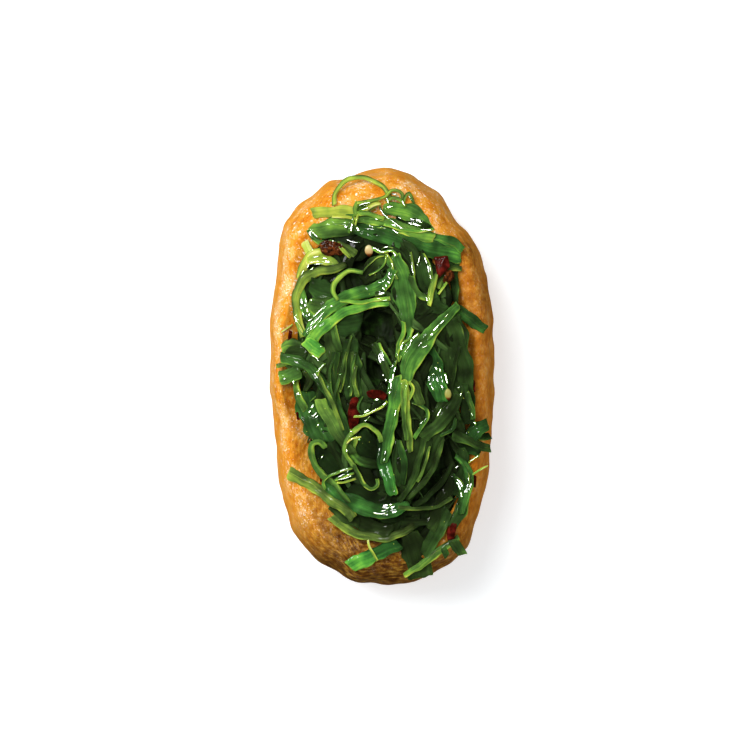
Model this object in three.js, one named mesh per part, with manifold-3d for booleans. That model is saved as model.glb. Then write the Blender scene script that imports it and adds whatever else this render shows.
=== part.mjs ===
// Inari sushi: a pocket of deep-fried tofu, open at the top, with a heap of seaweed
// salad in its mouth. Millimetres, +Z up, the pocket's long axis along Y, standing on Z = 0.
import * as THREE from 'three';
import { mergeVertices } from 'three/addons/utils/BufferGeometryUtils.js';
import Module from 'manifold-3d';

const wasm = await Module();
wasm.setup();

// ---- Driving dimensions ----

const POUCH_LENGTH = 84;
const POUCH_WIDTH = 45.2;
const POUCH_HEIGHT = 29.5;
const POUCH_SIDES = 72;
const CLEARANCE = 0.3;

// The outline seen from above is a superellipse. Its east-north shoulder is rounder than
// the rest, and the skin's folds push corners out and pull dents in.
const HALF_WIDTH = POUCH_WIDTH / 2;
const HALF_LENGTH = POUCH_LENGTH / 2;
const SQUARENESS = 2.65;
const ROUND_SHOULDER = { at: 45, spread: 40, drop: 0.5 };
const CORNERS = [
  { at: 47, spread: 12, push: 1.0 },
  { at: 67, spread: 7, push: -1.55 },
  { at: 78, spread: 6, push: -1.1 },
  { at: 102, spread: 7, push: -1.05 },
  { at: 123, spread: 9, push: 1.4 },
  { at: 210, spread: 14, push: -0.85 },
  { at: 258, spread: 8, push: -0.95 },
  { at: 294, spread: 8, push: 0.95 },
];

// Wall from the foot up to the belly: how far in from the outline, and how high.
const FOOT = [
  [7.5, 0],
  [3.8, 1.2],
  [1.5, 4],
  [0.4, 8.5],
  [0, 14],
];

// Wall from the belly over the lip and down into the mouth. The reach in from the outline
// is a share of LIP_REACH, which is short on the long sides and long on the ends.
const LIP = [
  [0.05, 0.61],
  [0.18, 0.765],
  [0.4, 0.9],
  [0.68, 0.975],
  [1, 1],
  [1.3, 0.96],
  [1.54, 0.885],
  [1.76, 0.82],
  [2.1, 0.785],
];
const LIP_REACH = { sides: 2.5, ends: 6.3, fold: 3, foldAt: 238, foldSpread: 26 };
const MOUTH_FLOOR = 0.775;

// Slow lumps of the skin: depth in mm and distance between lumps in mm.
const LUMPS = [
  { deep: 0.3, apart: 17, turn: 20 },
  { deep: 0.22, apart: 10, turn: 105 },
  { deep: 0.12, apart: 6.5, turn: 62 },
];

// The packed middle of the salad, which leans to the right at its near end.
const HEAP_WIDTH = 33;
const HEAP_LENGTH = 71;
const HEAP_CENTRE = [0.2, -2.2];
const HEAP_LEAN = -0.1;
const HEAP_SQUARENESS = 2.3;
const HEAP_TOP = 34.6;
const HEAP_EDGE = 30;
const HEAP_BASE = 20;
const HEAP_SIDES = 40;
const HEAP_RINGS = [0.97, 0.85, 0.7, 0.5, 0.3];
const HOLLOWS = [
  { x: -3, y: 8.5, spread: 4, deep: 3.2 },
  { x: -2.5, y: 23.5, spread: 3, deep: 1.5 },
  { x: 15.5, y: -7.5, spread: 3, deep: 1.6 },
  { x: 11.5, y: -22, spread: 3.2, deep: 1.8 },
  { x: -3, y: -30, spread: 3.6, deep: 1.6 },
  { x: -14, y: -3, spread: 2.6, deep: 1.5 },
  { x: -10.5, y: -17, spread: 2.6, deep: 1.2 },
];

// Strands laid by rule under the placed ones: lengths in mm, swing in radians, roll in degrees.
const FILL_COUNT = 14;
const FILL_LENGTH = [10, 20];
const FILL_WIDTH = [1.6, 3];
const FILL_THICK = 0.9;
const FILL_REACH = 0.8;
const FILL_SWING = 0.7;
const FILL_BOW = 0.25;
const FILL_ROLL = 18;
const FILL_SEED = 4211;
const GOLDEN_TURN = Math.PI * (3 - Math.sqrt(5));

// A repeatable draw: multiplier and modulus of the minimal standard generator.
const DRAW_STEP = 16807;
const DRAW_LIMIT = 2147483647;

// How strands lie. Each sinks a little into what it lies on, so that the heap is one body.
const SINK = 0.32;
const STRAND_STEP = 4;
const TAPER = 0.35;
const CUPPED_FROM = 3.5;
const CUP = 0.06;
const BRIDGE = 0.6;
const SETTLE = 0.7;
const FEEL = 0.35;
const LOWEST_DRAPE = POUCH_HEIGHT - 3;
const CELL = 0.5;

// Placed strands, lowest first: width, thickness, how far the middle arches up, roll at the
// start in degrees, and the route seen from above.
const STRANDS = [
  // deep right long
  { wide: 3.6, thick: 0.7, lift: 0, roll: -10, route: [[12, -8], [8.5, -22.5], [6, -25.5]] },
  // deep middle long
  { wide: 3.2, thick: 0.7, lift: 0, roll: 10, route: [[8, -13], [7.5, -17.5], [4.5, -25]] },
  // upper left leaf
  { wide: 3.2, thick: 0.6, lift: 0, roll: 10, route: [[-14.5, 15], [-12, 14.5], [-8, 15.5]] },
  // right inner leaf
  { wide: 2.6, thick: 0.7, lift: 0, roll: 15, route: [
    [13.5, 6.5], [15, 3], [15.5, -0.5], [14, -3.5]] },
  // hollow side strip
  { wide: 1.2, thick: 0.8, lift: 0, roll: 20, route: [[-5, 7], [-6, 2], [-5, -4]] },
  // left tuck leaf
  { wide: 2, thick: 0.7, lift: 0, roll: -15, route: [[-20, 5], [-18.5, 6], [-16.5, 5]] },
  // pale chip
  { wide: 2, thick: 0.7, lift: 0, roll: 10, route: [[-16, 27], [-14.5, 23.5]] },
  // right blunt leaf
  { wide: 2.8, thick: 0.9, lift: 0, roll: 10, route: [[18, -11.5], [21.5, -10.5]] },
  // wet leaf
  { wide: 4.8, thick: 0.7, lift: 0.3, roll: 10, route: [[11.5, 9], [11.5, -4.5]] },
  // right outer leaf
  { wide: 3, thick: 0.7, lift: 0, roll: -15, route: [[14, 11], [17.5, 3], [19, -5]] },
  // right thin
  { wide: 1.2, thick: 0.8, lift: 0, roll: 20, route: [[17.5, -4.5], [19, -9]] },
  // round leaf rim
  { wide: 2.2, thick: 0.8, lift: 0.3, roll: -30, route: [
    [-5.5, -12.5], [-6, -15], [-5, -17], [0, -18]] },
  // broad strip
  { wide: 3.2, thick: 0.9, lift: 0.2, roll: 15, route: [[-13, -4.5], [-6.5, -15.5]] },
  // left edge leaf
  { wide: 3.4, thick: 0.7, lift: 0, roll: -15, route: [[-17.5, -2], [-14, -13.5]] },
  // left tube
  { wide: 1.8, thick: 1.3, lift: 0, roll: 0, route: [
    [-11, 25.5], [-13.5, 25], [-15, 24], [-16.5, 19.5]] },
  // left chips
  { wide: 1.8, thick: 0.8, lift: 0.3, roll: 20, route: [[-14.5, 23], [-11, 23], [-9.5, 22]] },
  // fold leaf
  { wide: 3.6, thick: 0.7, lift: 0.2, roll: -10, route: [[-6, 29.5], [-9, 30], [-14, 29.5]] },
  // fold leaf edge
  { wide: 1.4, thick: 0.9, lift: 0, roll: 30, route: [[-14.5, 29.5], [-12.5, 25.5]] },
  // big end leaf
  { wide: 4, thick: 0.7, lift: 0, roll: 10, route: [[3, -34], [8.5, -40.5]] },
  // big end leaf 2
  { wide: 3.6, thick: 0.7, lift: 0, roll: -10, route: [[11, -33.5], [8.5, -39.5]] },
  // bottom bow
  { wide: 1.8, thick: 1, lift: 0, roll: 20, route: [
    [-10, -28.5], [-2, -32.5], [1, -32.5], [6.5, -30.5]] },
  // right column
  { wide: 2.6, thick: 0.9, lift: 0.2, roll: -20, route: [
    [15, -16.5], [16.5, -18.5], [17, -21.5], [16, -27.5]] },
  // right leaning
  { wide: 2.6, thick: 0.8, lift: 0, roll: 10, route: [[15, -4.5], [8.5, -12.5]] },
  // right reach
  { wide: 1.8, thick: 0.9, lift: 0, roll: -10, route: [[14, -11.5], [22, -14.5]] },
  // centre jag
  { wide: 2, thick: 0.7, lift: 0, roll: 25, route: [[6, -0.5], [7, -2], [7, -4.5], [7.5, -6]] },
  // centre slope
  { wide: 1.6, thick: 0.9, lift: 0.2, roll: -25, route: [[-1.5, 6], [2.5, -1.5]] },
  // left blunt leaf
  { wide: 2.8, thick: 0.9, lift: 0, roll: -10, route: [[-21, -0.5], [-17, 1], [-14.5, 1]] },
  // left curl
  { wide: 1, thick: 0.9, lift: 0.3, roll: 0, route: [
    [-17.5, -0.5], [-16, 0], [-14.5, -1.5], [-15.5, -3]] },
  // long left
  { wide: 2.4, thick: 0.9, lift: 0.2, roll: 10, route: [
    [-20.5, 4], [-15.5, 2], [-13.5, 0], [-7, -11.5]] },
  // left bow
  { wide: 2.2, thick: 1, lift: 0.4, roll: 15, route: [
    [-7.5, 23], [-16, 20], [-17, 14.5], [-16, 8.5]] },
  // top cross wide
  { wide: 3, thick: 0.8, lift: 0.2, roll: -10, route: [[-6, 31], [1, 30], [10, 25], [16, 24]] },
  // top cross tip
  { wide: 1.8, thick: 0.8, lift: 0, roll: 10, route: [[10.5, 28], [14.5, 26], [16, 25]] },
  // crown leaf
  { wide: 2.6, thick: 0.8, lift: 0.2, roll: 15, route: [[0, 34], [6, 34], [8.5, 32.5], [11, 28.5]] },
  // top cross
  { wide: 2, thick: 1, lift: 0.3, roll: 20, route: [[-5, 32.5], [10, 28]] },
  // pale strip
  { wide: 2.2, thick: 1, lift: 0, roll: 12, route: [[-14, 33], [-4, 32.5]] },
  // split end
  { wide: 1.8, thick: 0.9, lift: 0.2, roll: -15, route: [[-9.5, 29.5], [-5.5, 24]] },
  // pale fold
  { wide: 1.2, thick: 0.9, lift: 0, roll: 20, route: [[-3, 34], [-2, 34.5], [0, 34.5]] },
  // hanging strip
  { wide: 3.6, thick: 0.9, lift: 0.3, roll: -15, route: [[2, 25.5], [5.5, 9.5]] },
  // hanging tail
  { wide: 1.2, thick: 0.9, lift: 0.3, roll: -20, route: [[5, 9.5], [3, 5], [3.5, 2.5]] },
  // upper right strip
  { wide: 1.2, thick: 0.9, lift: 0.3, roll: 30, route: [[8.5, 24.5], [11, 17.5]] },
  // upper right hook
  { wide: 1.4, thick: 0.9, lift: 0.1, roll: -10, route: [[16, 21.5], [13.5, 21], [11, 17]] },
  // folded tip
  { wide: 1.6, thick: 1.1, lift: 0.4, roll: 15, route: [[11, 21], [9.5, 14.5]] },
  // long low bow
  { wide: 2.4, thick: 1, lift: 0.2, roll: -20, route: [
    [-10.5, -23], [-5, -26.5], [-2, -27.5], [11, -26], [13, -25]] },
  // long low strip
  { wide: 2.2, thick: 0.9, lift: 0, roll: 0, route: [[-19, -19.5], [-5.5, -27.5]] },
  // right kink
  { wide: 1, thick: 0.9, lift: 0.3, roll: 20, route: [[6, -5], [9, -7], [9, -8.5], [6, -12]] },
  // bright end strip
  { wide: 2.8, thick: 1, lift: 0, roll: -15, route: [[-6.5, -38.5], [5, -34]] },
  // end diagonal
  { wide: 1.6, thick: 0.9, lift: 0, roll: 15, route: [[4.5, -40], [15.5, -32.5]] },
  // corner tuft
  { wide: 1.8, thick: 0.8, lift: 0, roll: 10, route: [[14, -34], [16.5, -36]] },
  // centre tail
  { wide: 3, thick: 1.1, lift: 0.2, roll: -10, route: [[0, -13.5], [2, -24]] },
  // left bright under
  { wide: 2, thick: 1, lift: 0.4, roll: 25, route: [[1, 18.5], [-1, 17], [-9.5, 14], [-14.5, 9]] },
  // left bright
  { wide: 2.6, thick: 1.1, lift: 0.5, roll: -15, route: [[1.5, 16], [-8, 13.5], [-15, 7.5]] },
  // left bright end
  { wide: 2.8, thick: 1.1, lift: 0.2, roll: 10, route: [[-15.5, 7.5], [-12, 4]] },
  // left bright head
  { wide: 2.2, thick: 1.1, lift: 0.3, roll: -10, route: [[2, 21], [0, 17]] },
  // right bright tail
  { wide: 2.2, thick: 1, lift: 0, roll: 0, route: [[12.5, 15], [21, 9]] },
  // right bright
  { wide: 4.8, thick: 1, lift: 0.6, roll: -20, route: [[15.5, 13.5], [6.5, 3.5], [4, -1.5]] },
  // centre right
  { wide: 2, thick: 1, lift: 0.4, roll: 20, route: [[4.5, -1], [6, -14.5]] },
  // centre left
  { wide: 2.6, thick: 1.1, lift: 0.5, roll: -15, route: [[3, -0.5], [0.5, -17]] },
  // pouch arc
  { wide: 0.9, thick: 0.8, lift: 0.8, roll: 0, route: [
    [-9.5, 32.5], [-9, 37.5], [-6.5, 40], [-2.5, 40], [-0.5, 39], [1.5, 35], [1.5, 33]] },
  // crown curl
  { wide: 0.8, thick: 0.8, lift: 0.5, roll: 0, route: [
    [-5, 34], [-5, 35], [-0.5, 35.5], [3, 37], [4, 36], [4, 34.5]] },
  // upper left curl
  { wide: 0.9, thick: 0.8, lift: 0.5, roll: 0, route: [
    [-4, 21], [-6.5, 21], [-8.5, 20], [-9.5, 18.5], [-9, 16]] },
  // left loop
  { wide: 1.4, thick: 0.9, lift: 0.3, roll: 0, route: [
    [-11, -14.5], [-12.5, -13.5], [-14, -14], [-14.5, -16], [-13.5, -18], [-6.5, -25.5]] },
  // centre loop
  { wide: 1, thick: 0.8, lift: 0.4, roll: 0, route: [
    [0, -13], [-2, -10.5], [-3.5, -10], [-7, -12.5], [-8, -14.5], [-7.5, -17], [-5.5, -18.5]] },
  // lower hook
  { wide: 1.2, thick: 0.9, lift: 0.3, roll: 0, route: [
    [-11.5, -22.5], [-12, -21.5], [-10.5, -20.5], [-5.5, -19.5]] },
];

// Scraps and seeds on top: centre, size and turn in degrees.
const CHILLI = [
  { x: 11.5, y: 22, long: 3.8, wide: 2.8, turn: 70 },
  { x: -1.5, y: -3.5, long: 3, wide: 2, turn: 0 },
  { x: -6, y: -7.5, long: 6, wide: 2.2, turn: 80 },
  { x: 13.5, y: -31, long: 4, wide: 1.6, turn: 95 },
];
const WOOD_EAR = [
  { x: -10, y: 26, long: 5, wide: 3.2, turn: 10 },
  { x: 13, y: 20, long: 2.6, wide: 2, turn: 60 },
];
const SCRAP_THICK = 1;
const SCRAP_TAPER = 0.7;
const SESAME = [
  { x: -2.5, y: 25, turn: 80 },
  { x: 13.5, y: -4, turn: 100 },
  { x: -6.5, y: 30, turn: 20 },
];
const SEED_LENGTH = 2.5;
const SEED_WIDTH = 1.5;
const SEED_THICK = 0.9;
const SEED_SIDES = 6;
const SEED_RINGS = 4;

// ---- Outline and skin of the pouch ----

function bell(angle, at, spread) {
  const away = THREE.MathUtils.euclideanModulo(angle - at + 180, 360) - 180;
  return Math.exp(-((away / spread) ** 2));
}

function superellipse(angle, halfWidth, halfLength, power) {
  const turn = THREE.MathUtils.degToRad(angle);
  const across = Math.abs(Math.cos(turn) / halfWidth) ** power;
  const along = Math.abs(Math.sin(turn) / halfLength) ** power;
  return (across + along) ** (-1 / power);
}

function outlineRadius(angle) {
  const { at, spread, drop } = ROUND_SHOULDER;
  const power = SQUARENESS - drop * bell(angle, at, spread);
  let radius = superellipse(angle, HALF_WIDTH, HALF_LENGTH, power);
  for (const corner of CORNERS) {
    radius += corner.push * bell(angle, corner.at, corner.spread);
  }
  return radius;
}

function lipReach(angle) {
  const { sides, ends, fold, foldAt, foldSpread } = LIP_REACH;
  const endShare = Math.sin(THREE.MathUtils.degToRad(angle)) ** 2;
  return THREE.MathUtils.lerp(sides, ends, endShare) + fold * bell(angle, foldAt, foldSpread);
}

function skinLump(x, y, z) {
  let out = 0;
  for (const { deep, apart, turn } of LUMPS) {
    const heading = THREE.MathUtils.degToRad(turn);
    const along = x * Math.cos(heading) + y * Math.sin(heading) + z / 2;
    const across = y * Math.cos(heading) - x * Math.sin(heading) - z / 3;
    out += deep * Math.sin((2 * Math.PI * along) / apart) * Math.cos((2 * Math.PI * across) / apart);
  }
  return out;
}

// A closed skin of revolution whose every point is then moved to place(row, angle). Its rows
// run from the axis below to the axis above.
function turnedGeometry(rows, sides, place) {
  const profile = [];
  for (let row = 0; row <= rows; row += 1) {
    const onAxis = row === 0 || row === rows;
    profile.push(new THREE.Vector2(onAxis ? 0 : 1, row));
  }
  const geometry = new THREE.LatheGeometry(profile, sides);
  const position = geometry.getAttribute('position');
  for (let i = 0; i < position.count; i += 1) {
    const side = Math.floor(i / profile.length) % sides;
    const spot = place(i % profile.length, (360 * side) / sides);
    position.setXYZ(i, spot.x, spot.y, spot.z);
  }
  return geometry;
}

// A point at a radius and a height, its angle counted from +X towards +Y.
function polar(radius, angle, height) {
  const turn = THREE.MathUtils.degToRad(angle);
  return new THREE.Vector3(radius * Math.cos(turn), radius * Math.sin(turn), height);
}

function pouchGeometry(gap) {
  const rows = FOOT.length + LIP.length + 1;
  return turnedGeometry(rows, POUCH_SIDES, (row, angle) => {
    if (row === 0) {
      return polar(0, angle, -gap);
    }
    if (row === rows) {
      return polar(0, angle, POUCH_HEIGHT * MOUTH_FLOOR + gap);
    }
    const outer = outlineRadius(angle);
    if (row <= FOOT.length) {
      const [inset, height] = FOOT[row - 1];
      const radius = outer - inset;
      const { x, y } = polar(radius, angle, height);
      const lump = height > 0 ? Math.min(skinLump(x, y, height), inset) : 0;
      return polar(radius + lump + gap, angle, height > 0 ? height : -gap);
    }
    const [share, rise] = LIP[row - FOOT.length - 1];
    const sideways = gap * Math.sign(1 - share);
    const skin = polar(outer - share * lipReach(angle), angle, 0);
    const height = rise * (POUCH_HEIGHT + skinLump(skin.x, skin.y, 0));
    return polar(skin.length() + sideways, angle, height + gap);
  });
}

// Height of the pouch's upper face at a point seen from above.
function pouchTop(x, y) {
  const angle = THREE.MathUtils.radToDeg(Math.atan2(y, x));
  const share = (outlineRadius(angle) - Math.hypot(x, y)) / lipReach(angle);
  const next = LIP.findIndex(([reach]) => share < reach);
  if (next < 1) {
    return next < 0 ? MOUTH_FLOOR * POUCH_HEIGHT : 0;
  }
  const [[nearReach, nearRise], [farReach, farRise]] = [LIP[next - 1], LIP[next]];
  const rise = THREE.MathUtils.mapLinear(share, nearReach, farReach, nearRise, farRise);
  return rise * (POUCH_HEIGHT + skinLump(x, y, 0));
}

// ---- Solids ----

function toSolid(geometry) {
  geometry.deleteAttribute('normal');
  geometry.deleteAttribute('uv');
  const merged = mergeVertices(geometry);
  const corners = merged.index.array;
  const kept = [];
  for (let i = 0; i < corners.length; i += 3) {
    const [a, b, c] = corners.slice(i, i + 3);
    if (a !== b && b !== c && c !== a) {
      kept.push(a, b, c);
    }
  }
  const vertProperties = new Float32Array(merged.getAttribute('position').array);
  const triVerts = new Uint32Array(kept);
  return new wasm.Manifold(new wasm.Mesh({ numProp: 3, vertProperties, triVerts }));
}

function toGeometry(solid) {
  const mesh = solid.getMesh();
  const geometry = new THREE.BufferGeometry();
  geometry.setAttribute('position', new THREE.BufferAttribute(mesh.vertProperties, mesh.numProp));
  geometry.setIndex(new THREE.BufferAttribute(mesh.triVerts, 1));
  geometry.computeVertexNormals();
  return geometry;
}

// The biggest connected skin: loose scraps are dropped and sealed hollows are filled.
function mainBody(solid) {
  const pieces = solid.decompose();
  return pieces.reduce((best, piece) => (piece.volume() > best.volume() ? piece : best));
}

// ---- Heap of salad ----

function heapTop(x, y) {
  const dy = y - HEAP_CENTRE[1];
  const dx = x - HEAP_CENTRE[0] - HEAP_LEAN * dy;
  const angle = THREE.MathUtils.radToDeg(Math.atan2(dy, dx));
  const reach = superellipse(angle, HEAP_WIDTH / 2, HEAP_LENGTH / 2, HEAP_SQUARENESS);
  const share = Math.hypot(dx, dy) / reach;
  if (share > 1) {
    return 0;
  }
  let height = THREE.MathUtils.lerp(HEAP_TOP, HEAP_EDGE, share ** 3);
  for (const hollow of HOLLOWS) {
    const away = Math.hypot(x - hollow.x, y - hollow.y) / hollow.spread;
    height -= hollow.deep * Math.exp(-(away ** 2));
  }
  return height;
}

function heapGeometry() {
  const rows = HEAP_RINGS.length + 2;
  return turnedGeometry(rows, HEAP_SIDES, (row, angle) => {
    const onAxis = row === 0 || row === rows;
    const ring = onAxis ? 0 : HEAP_RINGS[Math.max(0, row - 2)];
    const reach = superellipse(angle, HEAP_WIDTH / 2, HEAP_LENGTH / 2, HEAP_SQUARENESS);
    const spot = polar(reach * ring, angle, HEAP_BASE);
    spot.x += HEAP_CENTRE[0] + HEAP_LEAN * spot.y;
    spot.y += HEAP_CENTRE[1];
    if (row > 1) {
      spot.z = heapTop(spot.x, spot.y);
    }
    return spot;
  });
}

// ---- Resting heights ----

// Heights of everything laid so far, on a grid seen from above.
const cells = { across: Math.ceil(POUCH_WIDTH / CELL) + 1, along: Math.ceil(POUCH_LENGTH / CELL) + 1 };
const laid = new Float32Array(cells.across * cells.along);

function cellIndex(x, y) {
  const column = THREE.MathUtils.clamp(Math.round((x + HALF_WIDTH) / CELL), 0, cells.across - 1);
  const row = THREE.MathUtils.clamp(Math.round((y + HALF_LENGTH) / CELL), 0, cells.along - 1);
  return row * cells.across + column;
}

for (let row = 0; row < cells.along; row += 1) {
  for (let column = 0; column < cells.across; column += 1) {
    const x = column * CELL - HALF_WIDTH;
    const y = row * CELL - HALF_LENGTH;
    const onPouch = pouchTop(x, y) + CLEARANCE + SINK;
    laid[row * cells.across + column] = Math.max(onPouch, heapTop(x, y), LOWEST_DRAPE);
  }
}

// ---- Strands ----

function widthAt(strand, u) {
  const taper = 1 - strand.taper * Math.abs(2 * u - 1) ** 3;
  return strand.wide * taper;
}

// A springy strand bridges what it crosses: each height leans on its neighbours'.
function eased(heights) {
  const last = heights.length - 1;
  return heights.map((height, i) => {
    const around = (heights[Math.max(0, i - 1)] + heights[Math.min(last, i + 1)]) / 2;
    return Math.max(THREE.MathUtils.lerp(height, around, BRIDGE), height - SETTLE);
  });
}

function strandStations(strand) {
  const points = strand.route.map(([x, y]) => new THREE.Vector3(x, y, 0));
  const curve = new THREE.CatmullRomCurve3(points, false, 'centripetal');
  const steps = Math.max(3, Math.round(curve.getLength() / STRAND_STEP));
  const stations = [];
  for (let i = 0; i <= steps; i += 1) {
    const u = i / steps;
    const spot = curve.getPointAt(u);
    const along = curve.getTangentAt(u);
    const across = new THREE.Vector3(-along.y, along.x, 0);
    const wide = widthAt(strand, u);
    stations.push({ u, spot, across, wide });
  }
  const rest = stations.map(({ spot, across, wide }) => {
    const side = across.clone().multiplyScalar(wide * FEEL);
    const left = laid[cellIndex(spot.x + side.x, spot.y + side.y)];
    const right = laid[cellIndex(spot.x - side.x, spot.y - side.y)];
    return Math.max(laid[cellIndex(spot.x, spot.y)], (left + right) / 2);
  });
  const heights = eased(eased(rest));
  stations.forEach((station, i) => {
    const arch = strand.lift * Math.sin(Math.PI * station.u);
    station.spot.z = heights[i] + strand.thick / 2 - SINK + arch;
  });
  return stations;
}

function raiseLaid(strand, stations) {
  for (let i = 1; i < stations.length; i += 1) {
    const from = stations[i - 1];
    const to = stations[i];
    const reach = from.spot.distanceTo(to.spot);
    const rows = Math.ceil(reach / CELL);
    const columns = Math.ceil(strand.wide / CELL);
    for (let row = 0; row <= rows; row += 1) {
      const middle = from.spot.clone().lerp(to.spot, row / rows);
      for (let column = 0; column <= columns; column += 1) {
        const side = (column / columns - 0.5) * from.wide;
        const cell = cellIndex(middle.x + from.across.x * side, middle.y + from.across.y * side);
        laid[cell] = Math.max(laid[cell], middle.z + strand.thick / 2);
      }
    }
  }
}

// A flat strip bent along its route, rolled about its own length and slightly cupped.
function strandGeometry(strand) {
  const stations = strandStations(strand);
  raiseLaid(strand, stations);
  const steps = stations.length - 1;
  const columns = strand.wide > CUPPED_FROM ? 2 : 1;
  const geometry = new THREE.BoxGeometry(1, 1, 1, steps, columns, 1);
  const position = geometry.getAttribute('position');
  for (let i = 0; i < position.count; i += 1) {
    const station = stations[Math.round((position.getX(i) + 0.5) * steps)];
    const side = position.getY(i) * station.wide;
    const cup = CUP * station.wide * (2 * position.getY(i)) ** 2;
    const up = position.getZ(i) * strand.thick + cup;
    const roll = THREE.MathUtils.degToRad(strand.roll * Math.cos(Math.PI * station.u));
    const outward = side * Math.cos(roll) - up * Math.sin(roll);
    const spot = station.spot.clone().addScaledVector(station.across, outward);
    position.setXYZ(i, spot.x, spot.y, spot.z + side * Math.sin(roll) + up * Math.cos(roll));
  }
  return geometry;
}

// ---- Strands laid by rule ----

let lastDraw = FILL_SEED;

function draw(low, high) {
  lastDraw = (lastDraw * DRAW_STEP) % DRAW_LIMIT;
  return THREE.MathUtils.lerp(low, high, lastDraw / DRAW_LIMIT);
}

function fillStrand(index) {
  const ring = Math.sqrt((index + 0.5) / FILL_COUNT) * FILL_REACH;
  const around = index * GOLDEN_TURN;
  const y = HEAP_CENTRE[1] + (ring * Math.sin(around) * HEAP_LENGTH) / 2;
  const x = HEAP_CENTRE[0] + (ring * Math.cos(around) * HEAP_WIDTH) / 2 + HEAP_LEAN * y;
  const heading = Math.PI / 2 + draw(-FILL_SWING, FILL_SWING);
  const half = draw(...FILL_LENGTH) / 2;
  const bow = draw(-FILL_BOW, FILL_BOW);
  const along = [half * Math.cos(heading), half * Math.sin(heading)];
  return {
    wide: draw(...FILL_WIDTH),
    thick: FILL_THICK,
    lift: 0,
    roll: draw(-FILL_ROLL, FILL_ROLL),
    route: [
      [x - along[0], y - along[1]],
      [x - along[1] * bow, y + along[0] * bow],
      [x + along[0], y + along[1]],
    ],
  };
}

function insideHeap({ route }) {
  return route.every(([x, y]) => heapTop(x, y) > 0);
}

// ---- Seeds, chilli and wood ear ----

function settle(geometry, { x, y, turn }, high) {
  geometry.rotateZ(THREE.MathUtils.degToRad(turn));
  geometry.translate(x, y, laid[cellIndex(x, y)] + high / 2 - SINK);
  return geometry;
}

function seedGeometry(seed) {
  const geometry = new THREE.SphereGeometry(0.5, SEED_SIDES, SEED_RINGS);
  geometry.scale(SEED_LENGTH, SEED_WIDTH, SEED_THICK);
  return settle(geometry, seed, SEED_THICK);
}

// A torn scrap: a low box with its two far corners drawn in.
function scrapGeometry(scrap) {
  const geometry = new THREE.BoxGeometry(scrap.long, scrap.wide, SCRAP_THICK);
  const position = geometry.getAttribute('position');
  for (let i = 0; i < position.count; i += 1) {
    const far = position.getX(i) > 0 ? SCRAP_TAPER : 1;
    position.setY(i, position.getY(i) * far);
  }
  return settle(geometry, scrap, SCRAP_THICK);
}

// ---- Parts ----

function makePouch() {
  const skin = new THREE.MeshStandardMaterial({ color: 0xd9a253, roughness: 0.45, metalness: 0 });
  const mesh = new THREE.Mesh(toGeometry(toSolid(pouchGeometry(0))), skin);
  mesh.name = 'pouch';
  return mesh;
}

function makeSalad() {
  const fill = Array.from({ length: FILL_COUNT }, (_, index) => fillStrand(index)).filter(insideHeap);
  const strands = [...fill, ...STRANDS].map((strand) => strandGeometry({ taper: TAPER, ...strand }));
  const scraps = [...CHILLI, ...WOOD_EAR].map(scrapGeometry);
  const seeds = SESAME.map(seedGeometry);
  let heap = toSolid(heapGeometry());
  for (const geometry of [...strands, ...scraps, ...seeds]) {
    heap = heap.add(toSolid(geometry));
  }
  heap = heap.subtract(toSolid(pouchGeometry(CLEARANCE)));
  const weed = new THREE.MeshStandardMaterial({ color: 0x3f6f2c, roughness: 0.25, metalness: 0 });
  const mesh = new THREE.Mesh(toGeometry(mainBody(heap)), weed);
  mesh.name = 'seaweed_salad';
  return mesh;
}

const group = new THREE.Group();
group.add(makePouch());
group.add(makeSalad());

export default group;
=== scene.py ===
import math

import bpy
import numpy as np
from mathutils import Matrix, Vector, noise


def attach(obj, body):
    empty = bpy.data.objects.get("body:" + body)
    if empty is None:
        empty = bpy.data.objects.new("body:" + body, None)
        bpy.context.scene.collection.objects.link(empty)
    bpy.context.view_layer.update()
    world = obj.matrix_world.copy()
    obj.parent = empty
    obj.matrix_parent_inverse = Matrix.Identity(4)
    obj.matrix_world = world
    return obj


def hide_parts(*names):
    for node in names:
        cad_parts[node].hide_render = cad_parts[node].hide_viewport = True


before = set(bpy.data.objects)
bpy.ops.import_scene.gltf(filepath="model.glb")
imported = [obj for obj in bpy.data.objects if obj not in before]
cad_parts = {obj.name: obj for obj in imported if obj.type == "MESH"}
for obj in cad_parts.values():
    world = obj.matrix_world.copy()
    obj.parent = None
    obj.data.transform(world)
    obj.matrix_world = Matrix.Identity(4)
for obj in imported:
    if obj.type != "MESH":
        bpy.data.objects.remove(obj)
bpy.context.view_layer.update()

MM = 0.001


# ---- Tofu pocket ----
# A slab of tofu fried until it puffs and browns, opened into a pocket and simmered in sweet
# soy. The skin is thin, soft and oily, blistered all over, and creased where it folds.

POUCH_HALF_WIDTH = 22.6
POUCH_HALF_LENGTH = 42.0
POUCH_HEIGHT = 29.5
SQUARENESS = 2.65
# Where the outline is rounder: angle and spread in degrees, and how much less square.
ROUND_SHOULDER = (45, 40, 0.5)
# Corners of the outline: angle and spread in degrees, and how far it is pushed out in mm.
CORNERS = [
    (47, 12, 1.0), (67, 7, -1.55), (78, 6, -1.1), (102, 7, -1.05),
    (123, 9, 1.4), (210, 14, -0.85), (258, 8, -0.95), (294, 8, 0.95),
]
# Smaller corners, where the skin is creased.
SMALL_CORNERS = [
    (30, 8, 0.4), (46, 2.5, -0.4), (54, 3, 0.35), (91.5, 2.5, -0.45), (105, 3, 0.5), (111.5, 2.5, -0.45),
    (122.5, 2.5, 0.55), (134, 4, -0.35), (156, 5, 0.5), (236, 4, -0.55), (263, 4, 1.1), (286, 4, -0.4),
]
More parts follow.
